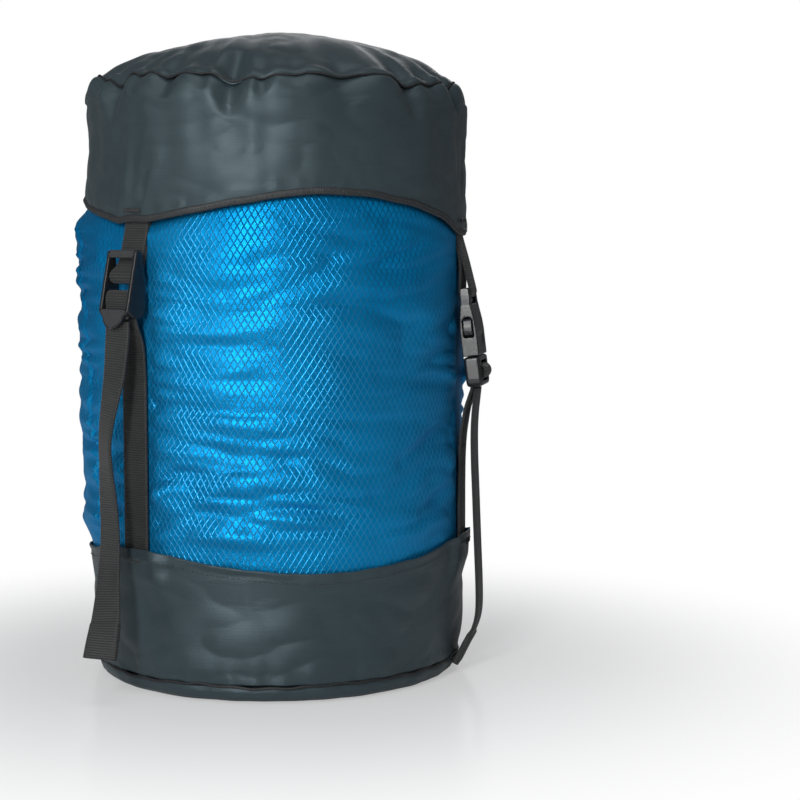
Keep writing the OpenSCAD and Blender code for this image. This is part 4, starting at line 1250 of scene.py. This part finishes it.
# Side-release buckles, one at the right and one at the rear. The socket hangs from the lid: a flat hollow
# body with a window in each side, narrowing to a slot and a round bar for the webbing.
SOCKET_LEAN = 6.8
socket_side = [
    (-4, 0.2), (-3.7, 0), (3.7, 0), (4, 0.2), (4, 12.5), (3.7, 17), (2.9, 22.5), (2.5, 25.5), (2.5, 32.2),
    (1.8, 33.1), (-1.8, 33.1), (-2.5, 32.2), (-2.5, 25.5), (-2.9, 22.5), (-3.7, 17), (-4, 12.5)
]
shoulder = [
    (-12.5, -1), (12.5, -1), (12.5, 24.5), (11.6, 27.4), (10.9, 30), (10.6, 34), (-10.6, 34), (-10.9, 30),
    (-11.6, 27.4), (-12.5, 24.5)
]
window = [
    (-1.7, 9), (1.7, 9), (2.5, 9.8), (2.5, 17.6), (1.2, 19), (-1.2, 19), (-2.5, 17.6), (-2.5, 9.8)
]


def make_socket(name, station):
    body = slab(socket_side, 25, 0)
    carve(body, slab(shoulder, 12, 0, sideways=True), "INTERSECT")
    applied(body, "BEVEL", width=1.5, segments=4, limit_method="ANGLE", angle_limit=math.radians(60))
    carve(body, slab([(-2.5, -1), (2.5, -1), (2.5, 22), (-2.5, 22)], 21.4, 0))
    for s in (-1, 1):
        carve(body, slab(window, 6, 0, middle=s * 12.5))
    carve(body, slab([(-5, 25.2), (5, 25.2), (5, 35), (-5, 35)], 16.4, 0))
    # A shallow thumb dish on the outer face, as these buckles have.
    carve(body, round_bar(4.9, 7.6, 1.35, 13.5, flat=3.6))
    socket = mould(
        name, [body, round_bar(0, 31.3, SOCKET_BAR_R, 20.4)], strap_place(station, BUCKLE, SOCKET_LEAN),
        grain=0.32, passes=4
    )
    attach(socket, "lid")
    return socket


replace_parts(make_socket("right_socket_moulding", RIGHT), "right_socket")
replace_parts(make_socket("rear_socket_moulding", REAR), "rear_socket")


# The plug hangs on the strap: a frame with a round bar that the webbing goes over, a foot that traps it,
# and a short middle tongue that guides it into the socket.
def make_plug(name, station, body_name):
    frame_outline = [
        (-12.5, -0.3), (-12.5, -11), (-12.1, -13.2), (-11.0, -14.6), (-9.4, -15), (9.4, -15), (11.0, -14.6),
        (12.1, -13.2), (12.5, -11), (12.5, -0.3)
    ]
    body = slab(frame_outline, 8, 1.3, sideways=True)
    carve(body, slab([(-5, -2.6), (5, -2.6), (5, -17), (-5, -17)], 16.4, 0))
    foot = slab([(0.8, -12.6), (4.0, -12.6), (4.0, -14.2), (3.2, -15), (1.2, -15), (0.8, -14.4)], 17, 0.4)
    tongue = slab([(-1, -1), (1, -1), (1, 18.4), (0.5, 19.2), (-0.5, 19.2), (-1, 18.4)], 4, 0.3)
    plug = mould(
        name, [body, round_bar(2.4, -8, 2.2, 18), foot, tongue], strap_place(station, BUCKLE, SOCKET_LEAN),
        grain=0.32, passes=4
    )
    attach(plug, body_name)
    return plug


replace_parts(make_plug("right_plug_moulding", RIGHT, "right_plug"), "right_plug")
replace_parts(make_plug("rear_plug_moulding", REAR, "rear_plug"), "rear_plug")


# Two springy prongs reach up inside the socket, and their rounded buttons fill its side windows.
prong = [
    (8.4, 1.6), (10.4, 1.6), (10.4, 9.4), (11.6, 9.7), (12.7, 10.5), (13.2, 12.4), (13.3, 14), (13.2, 15.6),
    (12.7, 17.4), (11.8, 18.4), (10.4, 18.7), (9.6, 19.2), (8.9, 19.9), (8.4, 19.6)
]
for name, station, s in (
    ("right_prong_front", RIGHT, -1), ("right_prong_back", RIGHT, 1), ("rear_prong_left", REAR, 1),
    ("rear_prong_right", REAR, -1)
):
    outline = [(s * y, z) for y, z in prong]
    arm = mould(
        name + "_moulding", [slab(outline[::s], 4.4, 0.6, sideways=True)],
        strap_place(station, BUCKLE, SOCKET_LEAN), grain=0.2, passes=3
    )
    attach(arm, name)
    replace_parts(arm, name)


# Webbing in the plugs: it goes up inside, out over the bar, where it makes a bump on the outer face, and
# back down on the inside. The strap's last stretch below the plug goes with it.
over_bar = [
    (-2.2, -15.5), (-2.2, -11.5), (-1.9, -8.6), (-1.1, -6.5), (0.5, -5.3),
    *arc_points((2.4, -8), 3.05, 95, -70, 10), (1.5, -11.5), (0.1, -12.3), (-0.35, -13.6), (-0.35, -15.5)
]
for name, station, body_name in (("right_wrap", RIGHT, "right_plug"), ("rear_wrap", REAR, "rear_plug")):
    path = [(93.95, 113.2), (94.6, 120), (96.3, 130.5), (98.2, 136.6), *leaned(over_bar, SOCKET_LEAN, BUCKLE)]
    wrap = weave_webbing(name + "_webbing", strap_line(path), station, webbing_material, start=0.0532)
    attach(wrap, body_name)
    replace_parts(wrap, name)
